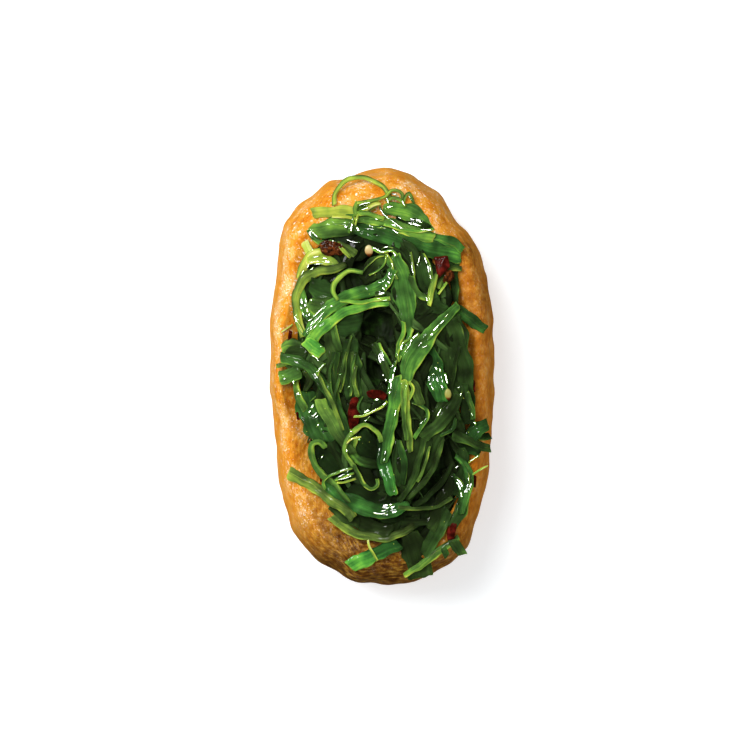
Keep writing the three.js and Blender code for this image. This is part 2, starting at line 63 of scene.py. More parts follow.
# The wall from the foot to the belly, as inset and height, and from the belly over the lip
# into the mouth, as shares of the lip's reach and of the height. Row 0 of the skin is the middle
# of the underside, rows 1 to 5 are FOOT's, rows 6 to 14 LIP's with its top at 10, and row 15 is
# the middle of the mouth's floor.
FOOT = [(7.5, 0), (3.8, 1.2), (1.5, 4), (0.4, 8.5), (0, 14)]
LIP = [
    (0.05, 0.61), (0.18, 0.765), (0.4, 0.9), (0.68, 0.975), (1, 1),
    (1.35, 0.985), (1.8, 0.955), (2.4, 0.92), (3.2, 0.88),
]
LIP_SIDES, LIP_ENDS = 2.5, 6.3
# Where the lip is wider than that: by how much, at what angle and over what spread.
LIP_FOLDS = [(3.0, 238, 26), (1.5, 355, 36)]
# The mouth's floor as a share of the height. The innermost rows leave only 2 % of the outline open.
MOUTH_FLOOR = 0.86
NEARLY_SHUT = 0.98
# Lumps of the whole skin: depth and distance apart in mm, and their turn in degrees.
LUMPS = [(0.3, 17, 20), (0.22, 10, 105), (0.12, 6.5, 62)]

SKIN_COLUMNS = 620
SKIN_ROWS = [0, 0.5, 0.9] + list(np.linspace(1, 5, 30)) + list(np.linspace(5.12, 12.5, 98)) + [13, 14, 15]


def bell(angle, at, spread):
    """A smooth rise to 1 at an angle or a row, and back to 0."""
    away = (angle - at + 180) % 360 - 180
    return np.exp(-((away / spread) ** 2))


def fade(value, start, end):
    """Goes from 0 at start to 1 at end, and is level outside them."""
    return np.clip((value - start) / (end - start), 0, 1)


def superellipse(angle, half_width, half_length, power):
    """Distance from the middle to a squarish oval, at angles in degrees."""
    turn = np.radians(angle)
    across = np.abs(np.cos(turn) / half_width) ** power
    along = np.abs(np.sin(turn) / half_length) ** power
    return (across + along) ** (-1 / power)


def outline_radius(angle):
    """Distance from the middle to the pocket's widest outline, at angles in degrees."""
    at, spread, drop = ROUND_SHOULDER
    power = SQUARENESS - drop * bell(angle, at, spread)
    radius = superellipse(angle, POUCH_HALF_WIDTH, POUCH_HALF_LENGTH, power)
    return radius + sum(push * bell(angle, at, spread) for at, spread, push in CORNERS + SMALL_CORNERS)


def lip_reach(angle):
    """Distance from the outline to the top of the lip, at angles in degrees."""
    ends = np.sin(np.radians(angle)) ** 2
    folds = sum(wider * bell(angle, at, spread) for wider, at, spread in LIP_FOLDS)
    return LIP_SIDES + (LIP_ENDS - LIP_SIDES) * ends + folds


def skin_lump(x, y, z):
    """How far the skin bulges at a place, in mm."""
    out = 0
    for deep, apart, turn in LUMPS:
        c, s = math.cos(math.radians(turn)), math.sin(math.radians(turn))
        along, across = x * c + y * s + z / 2, y * c - x * s - z / 3
        out = out + deep * np.sin(2 * np.pi * along / apart) * np.cos(2 * np.pi * across / apart)
    return out


def smooth_rows(values, rows):
    """Rows between the given ones, on a Catmull-Rom curve down each column."""
    values = np.asarray(values, float)
    last = len(values) - 1
    out = []
    for row in rows:
        i = min(int(row), last - 1)
        t = row - i
        a, b, c, d = (values[min(max(k, 0), last)] for k in (i - 1, i, i + 1, i + 2))
        out.append(
            b + 0.5 * t * (c - a + t * (2 * a - 5 * b + 4 * c - d + t * (3 * (b - c) + d - a)))
        )
    return np.array(out)


def noise_at(points, size, seed, octaves=2):
    """Smooth noise from about -1 to 1 at points in mm, with lumps of that size in mm."""
    offset = Vector((seed * 17.3, seed * -9.1, seed * 5.7))
    flat = points.reshape(-1, 3) / size
    found = [noise.fractal(Vector(p) + offset, 0.6, 2.1, octaves) for p in flat.tolist()]
    return np.array(found).reshape(points.shape[:-1])


def grid_normals(points):
    """Unit normals of a grid of points, rows up the wall and columns round it."""
    around = np.roll(points, -1, axis=1) - np.roll(points, 1, axis=1)
    up = np.gradient(points, axis=0)
    normal = np.cross(around, up)
    return normal / np.maximum(np.linalg.norm(normal, axis=2, keepdims=True), 1e-9)


def make_piece(name, points, faces, **attributes):
    """A smooth-shaded mesh object from points in mm, with one number a point for each attribute."""
    mesh = bpy.data.meshes.new(name)
    mesh.from_pydata((np.asarray(points) * MM).tolist(), [], faces)
    for key, values in attributes.items():
        layer = mesh.attributes.new(key, "FLOAT", "POINT")
        layer.data.foreach_set("value", np.asarray(values, dtype=np.float32).ravel())
    mesh.shade_smooth()
    piece = bpy.data.objects.new(name, mesh)
    bpy.context.scene.collection.objects.link(piece)
    return piece


def capped_rings(rows, columns, start=0):
    """Quads of a grid that closes round on itself, and a flat face over its first and last row."""
    faces = []
    for row in range(rows - 1):
        for column in range(columns):
            a = start + row * columns + column
            b = start + row * columns + (column + 1) % columns
            faces.append((a, b, b + columns, a + columns))
    last = start + (rows - 1) * columns
    faces.append(tuple(range(start, start + columns))[::-1])
    faces.append(tuple(range(last, last + columns)))
    return faces


angle = np.linspace(0, 360, SKIN_COLUMNS, endpoint=False)
turn = np.radians(angle)
outer, reach = outline_radius(angle), lip_reach(angle)
insets = [outer * NEARLY_SHUT] + [np.full_like(angle, inset) for inset, _ in FOOT]
insets += [share * reach for share, _ in LIP] + [outer * NEARLY_SHUT]
heights = [0.0] + [height for _, height in FOOT] + [rise * POUCH_HEIGHT for _, rise in LIP]
heights = np.array(heights + [MOUTH_FLOOR * POUCH_HEIGHT])[:, None] + 0 * angle
inset = smooth_rows(insets, SKIN_ROWS)
skin_row = np.array(SKIN_ROWS)[:, None]
radius = outer - inset
skin = np.stack([radius * np.cos(turn), radius * np.sin(turn), smooth_rows(heights, SKIN_ROWS)], axis=2)
on_top = fade(skin_row, 5, 8)
off_foot = fade(skin_row, 1, 3.5)
lump = skin_lump(skin[..., 0], skin[..., 1], skin[..., 2] * (1 - on_top))

# Relief, all in mm: puffed lumps, blisters, pores, fine creases that run round the near end, and
# a fold inside the lip on both sides.
PUFF_APART, PUFF_DEEP = 9, 0.17
BLISTER_APART, BLISTER_DEEP = 2.2, 0.1
PORE_APART, PORE_DEEP = 0.9, 0.03
CREASE_APART, CREASE_DEEP, CREASE_WAVE = 1.2, 0.16, 1.6
FOLD_DEEP = 0.3
slow = noise_at(skin, PUFF_APART, 1, 3)
blister = noise_at(skin, BLISTER_APART, 2, 3)
pore = noise_at(skin, PORE_APART, 3, 2)
end_fold = bell(angle, 250, 48) * fade(skin_row, 3.6, 5.6)
side_fold = bell(angle, 186, 42) * bell(skin_row, 10.6, 0.8)
side_fold = side_fold + 0.6 * bell(angle, 350, 40) * bell(skin_row, 10.4, 0.7)
wave = (skin[..., 2] * 0.5 + inset) / CREASE_APART
wave = wave + CREASE_WAVE * noise_at(skin * np.array([0.4, 0.8, 1]), 4, 4, 2)
crease = np.clip(1 - np.abs((wave % 1) - 0.5) * 2.6, 0, 1) ** 1.5
crease = crease * (end_fold + 0.12 * off_foot) * np.clip(0.6 + 1.2 * noise_at(skin, 5, 6, 2), 0, 1)
relief = PUFF_DEEP * slow + BLISTER_DEEP * blister + PORE_DEEP * pore
relief = relief - CREASE_DEEP * crease - FOLD_DEEP * side_fold
relief = relief * off_foot * (0.3 + 0.7 * fade(skin_row, 6.5, 8.5))
skin[..., 2] += lump * on_top * off_foot
skin[..., :2] *= (1 + (lump * (1 - on_top) * off_foot / radius))[..., None]
skin += grid_normals(skin) * relief[..., None]
skin[..., 2] = np.maximum(skin[..., 2], 0)

# How brown the skin is: browner towards the near end, partly from frying and partly as painted shade,
# and in spots high on the right, which are given by their place and spread across and along in mm,
# and by how brown they are. The right side, which is painted as in shade, is found here too.
BROWN_SPOTS = [(17, 25, 2.4, 3.2, 0.7), (20, 15, 3, 6, 0.4)]
x, y = skin[..., 0], skin[..., 1]
up_wall = fade(skin_row, 3, 6)
browned = 0.95 * fade(-y - 0.12 * np.abs(x), 22, 36) ** 1.2 * (0.45 + 0.55 * up_wall)
# Painted shade: the right side, away from the lamp, is painted a darker tan below.
right_side = fade(x, 10, 16) * fade(y, 33, 28 * up_wall - 7)
brown_spots = 0
for at_x, at_y, wide, long, brown in BROWN_SPOTS:
    brown_spots = brown_spots + brown * np.exp(-((x - at_x) / wide) ** 2 - ((y - at_y) / long) ** 2)
# Painted shade: a band by the mouth, left and right, is browner, as the shade of the salad beside it.
mouth_shade = 0.36 * fade(skin_row, 8.9, 9.4) * (x < 0) * fade(y, 8, 0)
mouth_shade += 0.16 * fade(skin_row, 10.2, 10.7) * (x > 0) * fade(y, 20, 12)
# The right lip turns down along a straight line, and is painted a little browner inside it, as its shade.
fold_line = 16.4 + 0.26 * (9.3 - y)
fold_shade = fade(fold_line - x, 0, 0.4) * (x > 0) * fade(y, 13, 9)
mouth_shade += 0.13 * fold_shade * fade(y, -10, -8) * fade(skin_row, 7, 8)
# Browner still towards the near end, partly as painted shade.
near_end = 0.09 * fade(y, -13, -25) * (x < 5)
browned = np.clip(browned + near_end + brown_spots * up_wall + mouth_shade + 0.06 * slow, 0, 1)
# Painted light: the wall, away from the brown and the shaded right side, is painted lighter, as if lit as
# brightly as the top.
wall = fade(skin_row, 8.2, 6.8) * (1 - browned) * (1 - 0.7 * right_side)

# How far each point is round the pocket, from the right and from the left, and down its wall.
# The way round is measured on the skin's shoulder.
shoulder = skin[60]
step_round = np.linalg.norm(np.roll(shoulder, -1, axis=0) - shoulder, axis=1)
round_from_right = np.cumsum(step_round) - step_round
round_from_left = np.roll(round_from_right, SKIN_COLUMNS // 2)
trust_left = 0.5 + 0.5 * np.cos(turn)
step_down = np.linalg.norm(np.diff(skin, axis=0, prepend=skin[:1]), axis=2)
down = np.cumsum(step_down, axis=0)
pocket = make_piece(
    "tofu_pocket", skin.reshape(-1, 3), capped_rings(len(SKIN_ROWS), SKIN_COLUMNS),
    browned=browned, creased=np.clip(crease + 0.4 * side_fold, 0, 1), down=down,
    round_right=round_from_right + 0 * down, round_left=round_from_left + 0 * down,
    trust_left=trust_left + 0 * down, wall=wall, right_side=right_side,
)


def linear(hex_colour):
    """An sRGB hex colour as the linear colour that a shader takes."""
    channels = [int(hex_colour[i:i + 2], 16) / 255 for i in (1, 3, 5)]
    return (*(c / 12.92 if c <= 0.04045 else ((c + 0.055) / 1.055) ** 2.4 for c in channels), 1)


def add(tree, kind, inputs=None, links=None, **settings):
    """Adds one node with its settings, its sockets' values, and what feeds its sockets.

    A node that is given as a feed gives its first output. On a Map Range node sockets 1 and 2 are
    the range that comes in, 3 and 4 the one that goes out. On a Mix node socket 0 is the second
    one's share, 2 and 3 take numbers, 6 and 7 take colours, and output 2 is the mixed colour.
    """
    node = tree.nodes.new(kind)
    for key, value in settings.items():
        setattr(node, key, value)
    for key, value in (inputs or {}).items():
        node.inputs[key].default_value = value
    for key, feed in (links or {}).items():
        tree.links.new(feed.outputs[0] if hasattr(feed, "outputs") else feed, node.inputs[key])
    return node


def new_material(name):
    """A material that has no nodes yet, and its node tree."""
    material = bpy.data.materials.new(name)
    material.use_nodes = True
    material.node_tree.nodes.clear()
    return material, material.node_tree


def set_ramp(ramp, stops):
    """Puts colour stops, as place and sRGB hex, on a colour ramp node."""
    elements = ramp.color_ramp.elements
    while len(elements) < len(stops):
        elements.new(0.5)
    for element, (place, colour) in zip(elements, stops):
        element.position = place
        element.color = linear(colour)


# Fried tofu skin: soft and oily. Bright orange gold where it fried evenly, with pale streaks
# and spots where it puffed, darker brown in its creases and folds as painted shade, and small
# blisters that break the gloss into specks. The streaks run round the pocket, the way it was stretched open.
# Sizes in mm; the real specks are finer, and are drawn as coarse as they need to be to show.
STREAK_LONG, STREAK_APART = 2.6, 0.75
CRUMB, SPOT, PATCH, SPECK = 0.6, 1.3, 5.0, 0.42
BLISTERS_APART = 1.25
# Dashes are this much closer than streaks.
DASHES_IN_STREAK = 1.5
skin_stuff, tree = new_material("fried_tofu_skin")
where = add(tree, "ShaderNodeTexCoord").outputs["Object"]
down_at = add(tree, "ShaderNodeAttribute", attribute_name="down").outputs["Fac"]
down_part = add(tree, "ShaderNodeMath", {1: 1 / STREAK_APART}, {0: down_at}, operation="MULTIPLY")
streak_sides, dash_sides = [], []
for way in ("round_left", "round_right"):
    round_at = add(tree, "ShaderNodeAttribute", attribute_name=way).outputs["Fac"]
    round_part = add(tree, "ShaderNodeMath", {1: 1 / STREAK_LONG}, {0: round_at}, operation="MULTIPLY")
    place = add(tree, "ShaderNodeCombineXYZ", None, {"X": round_part, "Y": down_part})
    streak_sides.append(add(
        tree, "ShaderNodeTexNoise", {"Scale": 1.0, "Detail": 5, "Roughness": 0.6, "Distortion": 0.4},
        {"Vector": place},
    ))
    dash_sides.append(add(
        tree, "ShaderNodeTexNoise",
        {"Scale": DASHES_IN_STREAK, "Detail": 1, "Roughness": 0.5, "Distortion": 0.5}, {"Vector": place},
    ))
trust = add(tree, "ShaderNodeAttribute", attribute_name="trust_left").outputs["Fac"]
streaks = add(tree, "ShaderNodeMix", None, {0: trust, 2: streak_sides[1], 3: streak_sides[0]})
dashes = add(tree, "ShaderNodeMix", None, {0: trust, 2: dash_sides[1], 3: dash_sides[0]})
patches = add(
    tree, "ShaderNodeTexNoise", {"Scale": 1 / (PATCH * MM), "Detail": 3, "Roughness": 0.55},
    {"Vector": where},
)
spots = add(
    tree, "ShaderNodeTexNoise", {"Scale": 1 / (SPOT * MM), "Detail": 4, "Roughness": 0.65},
    {"Vector": where},
)
browned_at = add(tree, "ShaderNodeAttribute", attribute_name="browned").outputs["Fac"]
streaky = add(tree, "ShaderNodeMapRange", {1: 0.0, 2: 1.0, 3: 0.22, 4: 0.52}, {0: browned_at})
fine_mottle = add(tree, "ShaderNodeMix", None, {0: streaky, 2: spots, 3: streaks})
mottle = add(tree, "ShaderNodeMix", {0: 0.38}, {2: fine_mottle, 3: patches})
golden = add(tree, "ShaderNodeValToRGB", links={"Fac": mottle})
set_ramp(golden, [
    (0.38, "#c26c12"), (0.44, "#d2801a"), (0.48, "#da8e26"),
    (0.54, "#e09c38"), (0.61, "#e6a84e"), (0.7, "#eaba6c"),
])
brown_and_shade_skin = add(tree, "ShaderNodeValToRGB", links={"Fac": fine_mottle})
set_ramp(brown_and_shade_skin, [
    (0.38, "#321604"), (0.45, "#58320c"), (0.5, "#704814"), (0.55, "#966a22"), (0.62, "#ba8c38"),
])
# Painted shade: the right side, away from the lamp, is a darker tan than the rest.
shaded_tan_skin = add(tree, "ShaderNodeValToRGB", links={"Fac": mottle})
set_ramp(shaded_tan_skin, [(0.4, "#aa6216"), (0.48, "#c0741c"), (0.54, "#ce8428"), (0.62, "#d89c48")])
right_shade_at = add(tree, "ShaderNodeAttribute", attribute_name="right_side").outputs["Fac"]
turned = add(tree, "ShaderNodeMix", None, {0: right_shade_at, 6: golden, 7: shaded_tan_skin}, data_type="RGBA")
toned = add(
    tree, "ShaderNodeMix", None, {0: browned_at, 6: turned.outputs[2], 7: brown_and_shade_skin}, data_type="RGBA"
)
# Painted shade: the creases and folds are mixed towards a darker brown.
creased_at = add(tree, "ShaderNodeAttribute", attribute_name="creased").outputs["Fac"]
crease_shade_part = add(tree, "ShaderNodeMath", {1: 0.4}, {0: creased_at}, operation="MULTIPLY")
folded = add(
    tree, "ShaderNodeMix", {7: linear("#8a5218")}, {0: crease_shade_part, 6: toned.outputs[2]}, data_type="RGBA"
)
# Painted light: the walls are mixed towards a lighter orange, as if lit as brightly as the top.
wall_at = add(tree, "ShaderNodeAttribute", attribute_name="wall").outputs["Fac"]
wall_light_part = add(tree, "ShaderNodeMath", {1: 0.6}, {0: wall_at}, operation="MULTIPLY")
wall_lit = add(
    tree, "ShaderNodeMix", {7: linear("#f09e34")}, {0: wall_light_part, 6: folded.outputs[2]}, data_type="RGBA"
)
# Where it puffed, pale dashes lie along the way the skin was stretched.
puff_room = add(tree, "ShaderNodeMapRange", {1: 0.4, 2: 0.6, 3: 0.1, 4: -0.05}, {0: patches})
crumbs = add(
    tree, "ShaderNodeTexNoise", {"Scale": 1 / (CRUMB * MM), "Detail": 1, "Roughness": 0.5},
    {"Vector": where},
)
dashed = add(tree, "ShaderNodeMix", {0: 0.55}, {2: dashes, 3: crumbs})
puff_level = add(tree, "ShaderNodeMath", None, {0: dashed, 1: puff_room}, operation="SUBTRACT")
puff_part = add(tree, "ShaderNodeMapRange", {1: 0.515, 2: 0.55, 3: 0.0, 4: 0.36}, {0: puff_level})
brown_and_shade_side = add(tree, "ShaderNodeMath", None, {0: browned_at, 1: right_shade_at}, operation="MAXIMUM")
wall_share = add(tree, "ShaderNodeMath", {1: 0.42}, {0: wall_at}, operation="MULTIPLY")
brown_shade_and_wall = add(tree, "ShaderNodeMath", None, {0: brown_and_shade_side, 1: wall_share}, operation="ADD")
puff_left = add(tree, "ShaderNodeMapRange", {1: 0.0, 2: 0.5, 3: 1.0, 4: 0.1}, {0: brown_shade_and_wall})
puff_seen = add(tree, "ShaderNodeMath", None, {0: puff_part, 1: puff_left}, operation="MULTIPLY")
puffed = add(
    tree, "ShaderNodeMix", {7: linear("#f8d09a")}, {0: puff_seen, 6: wall_lit.outputs[2]}, data_type="RGBA"
)
# Burst blisters show as near-white flecks, most of them where the skin is palest.
specks = add(
    tree, "ShaderNodeTexNoise", {"Scale": 1 / (SPECK * MM), "Detail": 2, "Roughness": 0.5},
    {"Vector": where},
)
fleck_room = add(tree, "ShaderNodeMapRange", {1: 0.42, 2: 0.62, 3: 0.08, 4: -0.03}, {0: patches})
fleck_level = add(tree, "ShaderNodeMath", None, {0: specks, 1: fleck_room}, operation="SUBTRACT")
fleck_part = add(tree, "ShaderNodeMapRange", {1: 0.6, 2: 0.66, 3: 0.0, 4: 0.8}, {0: fleck_level})
fleck_left = add(tree, "ShaderNodeMapRange", {1: 0.1, 2: 0.7, 3: 1.0, 4: 0.1}, {0: brown_shade_and_wall})
fleck_seen = add(tree, "ShaderNodeMath", None, {0: fleck_part, 1: fleck_left}, operation="MULTIPLY")
flecked = add(
    tree, "ShaderNodeMix", {7: linear("#fff2da")}, {0: fleck_seen, 6: puffed.outputs[2]}, data_type="RGBA"
)
# Painted highlights: small blisters that catch the light are painted as crisp near-white dots, a little
# drawn out along the pocket.
drawn_out = add(tree, "ShaderNodeVectorMath", {1: (1, 0.6, 1)}, {0: where}, operation="MULTIPLY")
blisters = add(tree, "ShaderNodeTexVoronoi", {"Scale": 1 / (BLISTERS_APART * MM)}, {"Vector": drawn_out})
blister_pick = add(tree, "ShaderNodeSeparateColor", None, {"Color": blisters.outputs["Color"]})
blister_size = add(tree, "ShaderNodeMapRange", {1: 0.4, 2: 1.0, 3: 0.04, 4: 0.24}, {0: blister_pick})
blister_in = add(tree, "ShaderNodeMath", None, {0: blister_size, 1: blisters}, operation="SUBTRACT")
blister_glint_part = add(tree, "ShaderNodeMapRange", {1: 0.0, 2: 0.06, 3: 0.0, 4: 0.85}, {0: blister_in})
blister_glint_seen = add(tree, "ShaderNodeMath", None, {0: blister_glint_part, 1: fleck_left}, operation="MULTIPLY")
skin_colour = add(
    tree, "ShaderNodeMix", {7: linear("#fff4e0")}, {0: blister_glint_seen, 6: flecked.outputs[2]},
    data_type="RGBA",
)
oiliness = add(tree, "ShaderNodeMapRange", {1: 0.35, 2: 0.65, 3: 0.32, 4: 0.55}, {0: spots})
speck_bump = add(tree, "ShaderNodeBump", {"Strength": 0.3, "Distance": 0.12 * MM}, {"Height": specks})
skin_bump = add(
    tree, "ShaderNodeBump", {"Strength": 0.4, "Distance": 0.35 * MM},
    {"Height": fine_mottle, "Normal": speck_bump},
)
skin_shader = add(
    tree, "ShaderNodeBsdfPrincipled",
    {"IOR": 1.4, "Specular IOR Level": 0.07, "Subsurface Weight": 0.25, "Subsurface Radius": (1.0, 0.5, 0.2),
     "Subsurface Scale": 0.9 * MM},
    {"Base Color": skin_colour.outputs[2], "Roughness": oiliness, "Normal": skin_bump},
)
add(tree, "ShaderNodeOutputMaterial", links={"Surface": skin_shader})
pocket.data.materials.append(skin_stuff)
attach(pocket, "root")
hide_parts("pouch")


# ---- Packed middle of the salad ----
# The strands that lie under the ones that show, pressed together in the pocket's mouth: wet and
# ropy, and painted dark as the shade they lie in, with hollows where the strands on top leave gaps.

HEAP_HALF_WIDTH = 16.5
HEAP_HALF_LENGTH = 35.5
HEAP_CENTRE = (0.2, -2.2)
HEAP_LEAN = -0.1
HEAP_SQUARENESS = 2.3
# Heights of the heap's crown, edge and foot. Its mesh lies lower by what the strands on it add.
HEAP_TOP = 34.6
HEAP_EDGE = 30.0
HEAP_FOOT = 24.0
UNDER_STRANDS = 1.9
# Hollows: place, spread and depth.
HOLLOWS = [
    (0.5, -15.5, 5.5, 1.7), (-0.8, 10, 4.2, 3.4), (-3.8, 22, 3.2, 2.2), (-0.6, 1.5, 3.2, 2.6),
    (15.8, -7, 3, 2), (11.5, -21, 3.4, 2.2), (-3, -30, 3.6, 1.6), (-14, -3, 2.6, 1.5),
    (-10.5, -17, 2.6, 1.2),
]
# Ropes of pressed strands that show in its surface.
ROPE_APART, ROPE_DEEP = 2.4, 0.45
HEAP_COLUMNS = 300
HEAP_SHARES = [1.0, 1.0] + list(np.linspace(0.985, 0.03, 70))


def heap_reach(angle):
    """Distance from the heap's middle to its edge, at angles in degrees."""
    return superellipse(angle, HEAP_HALF_WIDTH, HEAP_HALF_LENGTH, HEAP_SQUARENESS)


def heap_share(x, y):
    """How far out in the heap a place lies: 0 in its middle and 1 on its edge."""
    dy = y - HEAP_CENTRE[1]
    dx = x - HEAP_CENTRE[0] - HEAP_LEAN * dy
    return np.hypot(dx, dy) / heap_reach(np.degrees(np.arctan2(dy, dx)))


def crown_height(share):
    """Height of the heap without its hollows."""
    return HEAP_TOP + (HEAP_EDGE - HEAP_TOP) * share ** 3


angle = np.linspace(0, 360, HEAP_COLUMNS, endpoint=False)
turn = np.radians(angle)
share = np.array(HEAP_SHARES)[:, None]
reach = share * heap_reach(angle)
y = HEAP_CENTRE[1] + reach * np.sin(turn)
x = HEAP_CENTRE[0] + reach * np.cos(turn) + HEAP_LEAN * (y - HEAP_CENTRE[1])
top = crown_height(heap_share(x, y)) - UNDER_STRANDS
for at_x, at_y, spread, deep in HOLLOWS:
    top = top - deep * np.exp(-((x - at_x) ** 2 + (y - at_y) ** 2) / spread ** 2)
core = np.stack([x, y, top], axis=2)
rope = noise_at(core * np.array([1, 0.22, 1]), ROPE_APART, 11, 3)
core[..., 2] += ROPE_DEEP * (2 * np.abs(rope) - 0.4) * (1 - share ** 8)
core[0, :, 2] = HEAP_FOOT
packed = make_piece("packed_salad", core.reshape(-1, 3), capped_rings(len(HEAP_SHARES), HEAP_COLUMNS))

# Wakame pressed at the bottom, where no light comes: painted nearly black green as that shade, with
# hardly any gloss.
MURK = 2.0
pressed, tree = new_material("pressed_wakame")
where = add(tree, "ShaderNodeTexCoord").outputs["Object"]
depths = add(
    tree, "ShaderNodeTexNoise", {"Scale": 1 / (MURK * MM), "Detail": 4, "Roughness": 0.6},
    {"Vector": where},
)
painted_shade_green = add(tree, "ShaderNodeValToRGB", links={"Fac": depths})
set_ramp(painted_shade_green, [(0.35, "#0e1408"), (0.55, "#16220c"), (0.7, "#203812")])
pressed_shader = add(
    tree, "ShaderNodeBsdfPrincipled", {"Specular IOR Level": 0.05, "Roughness": 0.6},
    {"Base Color": painted_shade_green},
)
add(tree, "ShaderNodeOutputMaterial", links={"Surface": pressed_shader})
packed.data.materials.append(pressed)
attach(packed, "root")
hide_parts("seaweed_salad")


# ---- Wakame strands ----
# Stems and leaves cut into strips a few millimetres wide. They are laid one by one, lowest
# first, and each rests on what is under it, bridging the gaps as a springy strip does.

# The top of what is laid is kept as heights, in mm, on a grid of square cells.
CELL = 0.4
FIELD_X, FIELD_Y = 24.0, 44.0
LOWEST_DRAPE = POUCH_HEIGHT - 3
columns_wide, rows_long = int(2 * FIELD_X / CELL) + 1, int(2 * FIELD_Y / CELL) + 1
laid = np.full((rows_long, columns_wide), LOWEST_DRAPE)


def cells(x, y):
    """Rows and columns of the cells at some places."""
    column = np.clip(np.round((x + FIELD_X) / CELL).astype(int), 0, columns_wide - 1)
    row = np.clip(np.round((y + FIELD_Y) / CELL).astype(int), 0, rows_long - 1)
    return row, column


def raise_laid(points):
    """Raises the height of a cell to that of the highest point over it."""
    np.maximum.at(laid, cells(points[..., 0], points[..., 1]), points[..., 2])


# What is laid first is the pocket's skin above its belly, and the packed middle.
above_belly = SKIN_ROWS.index(5) + 3
raise_laid(skin[above_belly:])
raise_laid(core)
# All that is left to chance is drawn from these dice, in the order in which the strands are laid.
dice = np.random.default_rng(20417)


def spline(route, spacing):
    """Points at an even spacing on a centripetal Catmull-Rom curve through a route."""
    route = np.array(route, float)
    if len(route) == 2:
        route = np.array([route[0], route.mean(axis=0), route[1]])
    route = np.vstack([2 * route[0] - route[1], route, 2 * route[-1] - route[-2]])
    knots = np.concatenate([[0], np.cumsum(np.sqrt(np.linalg.norm(np.diff(route, axis=0), axis=1)))])
    fine = []
    for i in range(1, len(route) - 2):
        t0, t1, t2, t3 = knots[i - 1:i + 3]
        t = np.linspace(t1, t2, 24, endpoint=False)[:, None]
        p0, p1, p2, p3 = route[i - 1:i + 3]
        a1 = (t1 - t) / (t1 - t0) * p0 + (t - t0) / (t1 - t0) * p1
        a2 = (t2 - t) / (t2 - t1) * p1 + (t - t1) / (t2 - t1) * p2
        a3 = (t3 - t) / (t3 - t2) * p2 + (t - t2) / (t3 - t2) * p3
        b1 = (t2 - t) / (t2 - t0) * a1 + (t - t0) / (t2 - t0) * a2
        b2 = (t3 - t) / (t3 - t1) * a2 + (t - t1) / (t3 - t1) * a3
        fine.append((t2 - t) / (t2 - t1) * b1 + (t - t1) / (t2 - t1) * b2)
    fine = np.vstack(fine + [route[-2:-1]])
    length = np.concatenate([[0], np.cumsum(np.linalg.norm(np.diff(fine, axis=0), axis=1))])
    count = max(5, int(round(length[-1] / spacing)) + 1)
    s = np.linspace(0, length[-1], count)
    return np.stack([np.interp(s, length, fine[:, k]) for k in (0, 1)], axis=1), s


def wander(s, size, strength):
    """A slow random wave along a strand, from two sines of about that length in mm."""
    out = 0
    for share in (1, 0.53):
        length = size * share * dice.uniform(0.8, 1.3)
        out = out + np.sin(2 * np.pi * s / length + dice.uniform(0, 6.28)) * share
    return out * strength / 1.5


# Painted shade: strands are painted darkest DARK_DEPTH below the heap's top, and keep this share of
# their tone there.
DARK_DEPTH, DARKEST = 2.4, 0.15
# Distance apart of the points along a strand, and how deep it presses into what it lies on.
STATION, PRESS = 0.45, 0.22
# Length over which an end dips, and rounding of a cut end.
DIVE_LENGTH, END_ROUND = 3.0, 0.3
# Lean of a face that shows the lamp, as its fall per mm towards +X and +Y, the half length of a
# glint, and the distance apart of the glints on a wet shred.
LAMP_TIP = np.array([-0.252, 0.238])
GLINT_REACH, GLINT_APART = 2.5, 2.4


def painted_depth_shade(x, y, z):
    """Share of a strand's tone that is left at a depth in the heap, as painted shade."""
    share = heap_share(x, y)
    deep = fade(z, crown_height(np.minimum(share, 1)), crown_height(np.minimum(share, 1)) - DARK_DEPTH)
    return 1 - (1 - DARKEST) * deep * (share < 1)


def drape(line, across, s, w, thick, lift, spring, dive):
    """Height of the middle of a strip that lies on what is laid, and of what is under it."""
    # It feels what is under it at five places across, and settles into a line it can bend to.
    feel = np.array([-0.42, -0.2, 0, 0.2, 0.42])
    touch = line[:, None, :] + across[:, None, :] * (feel[None, :] * w[:, None])[..., None]
    under = laid[cells(touch[..., 0], touch[..., 1])]
    rest = 0.55 * under.max(axis=1) + 0.45 * under.mean(axis=1)
    z = rest.copy()
    for _ in range(spring):
        near = np.concatenate([[z[0]], z, [z[-1]]])
        z = np.maximum(rest - PRESS, 0.5 * (near[:-2] + near[2:]))
    for _ in range(3):
        near = np.concatenate([[2 * z[0] - z[1]], z, [2 * z[-1] - z[-2]]])
        z = 0.25 * near[:-2] + 0.5 * z + 0.25 * near[2:]
    z = z + thick / 2 - PRESS / 2 + lift * np.sin(np.pi * (s / s[-1]))
    z = z - dive[0] * fade(s, DIVE_LENGTH, 0) ** 2 - dive[1] * fade(s[-1] - s, DIVE_LENGTH, 0) ** 2
    return z, rest


def tip_to_lamp(z, rest, s, tangent, thick, glint, stiff):
    """Slopes a strip to face the lamp at its glints, or all of it, and how far each point faces it."""
    facing = 0 * s
    for at in glint:
        away = s - at * s[-1]
        near_lamp = np.exp(-(away / GLINT_REACH) ** 2)
        slope = np.interp(at * s[-1], s, np.gradient(z, s))
        wanted = np.interp(at * s[-1], s, -tangent @ LAMP_TIP)
        z = z + (wanted - slope) * away * near_lamp
        facing = np.maximum(facing, near_lamp)
    if stiff:
        lamp_slope = -(tangent @ LAMP_TIP).mean() * (s - s[-1] / 2)
        z = lamp_slope + np.percentile(rest - lamp_slope, 60) + thick / 2
        facing = facing * 0 + 1
    return z, facing


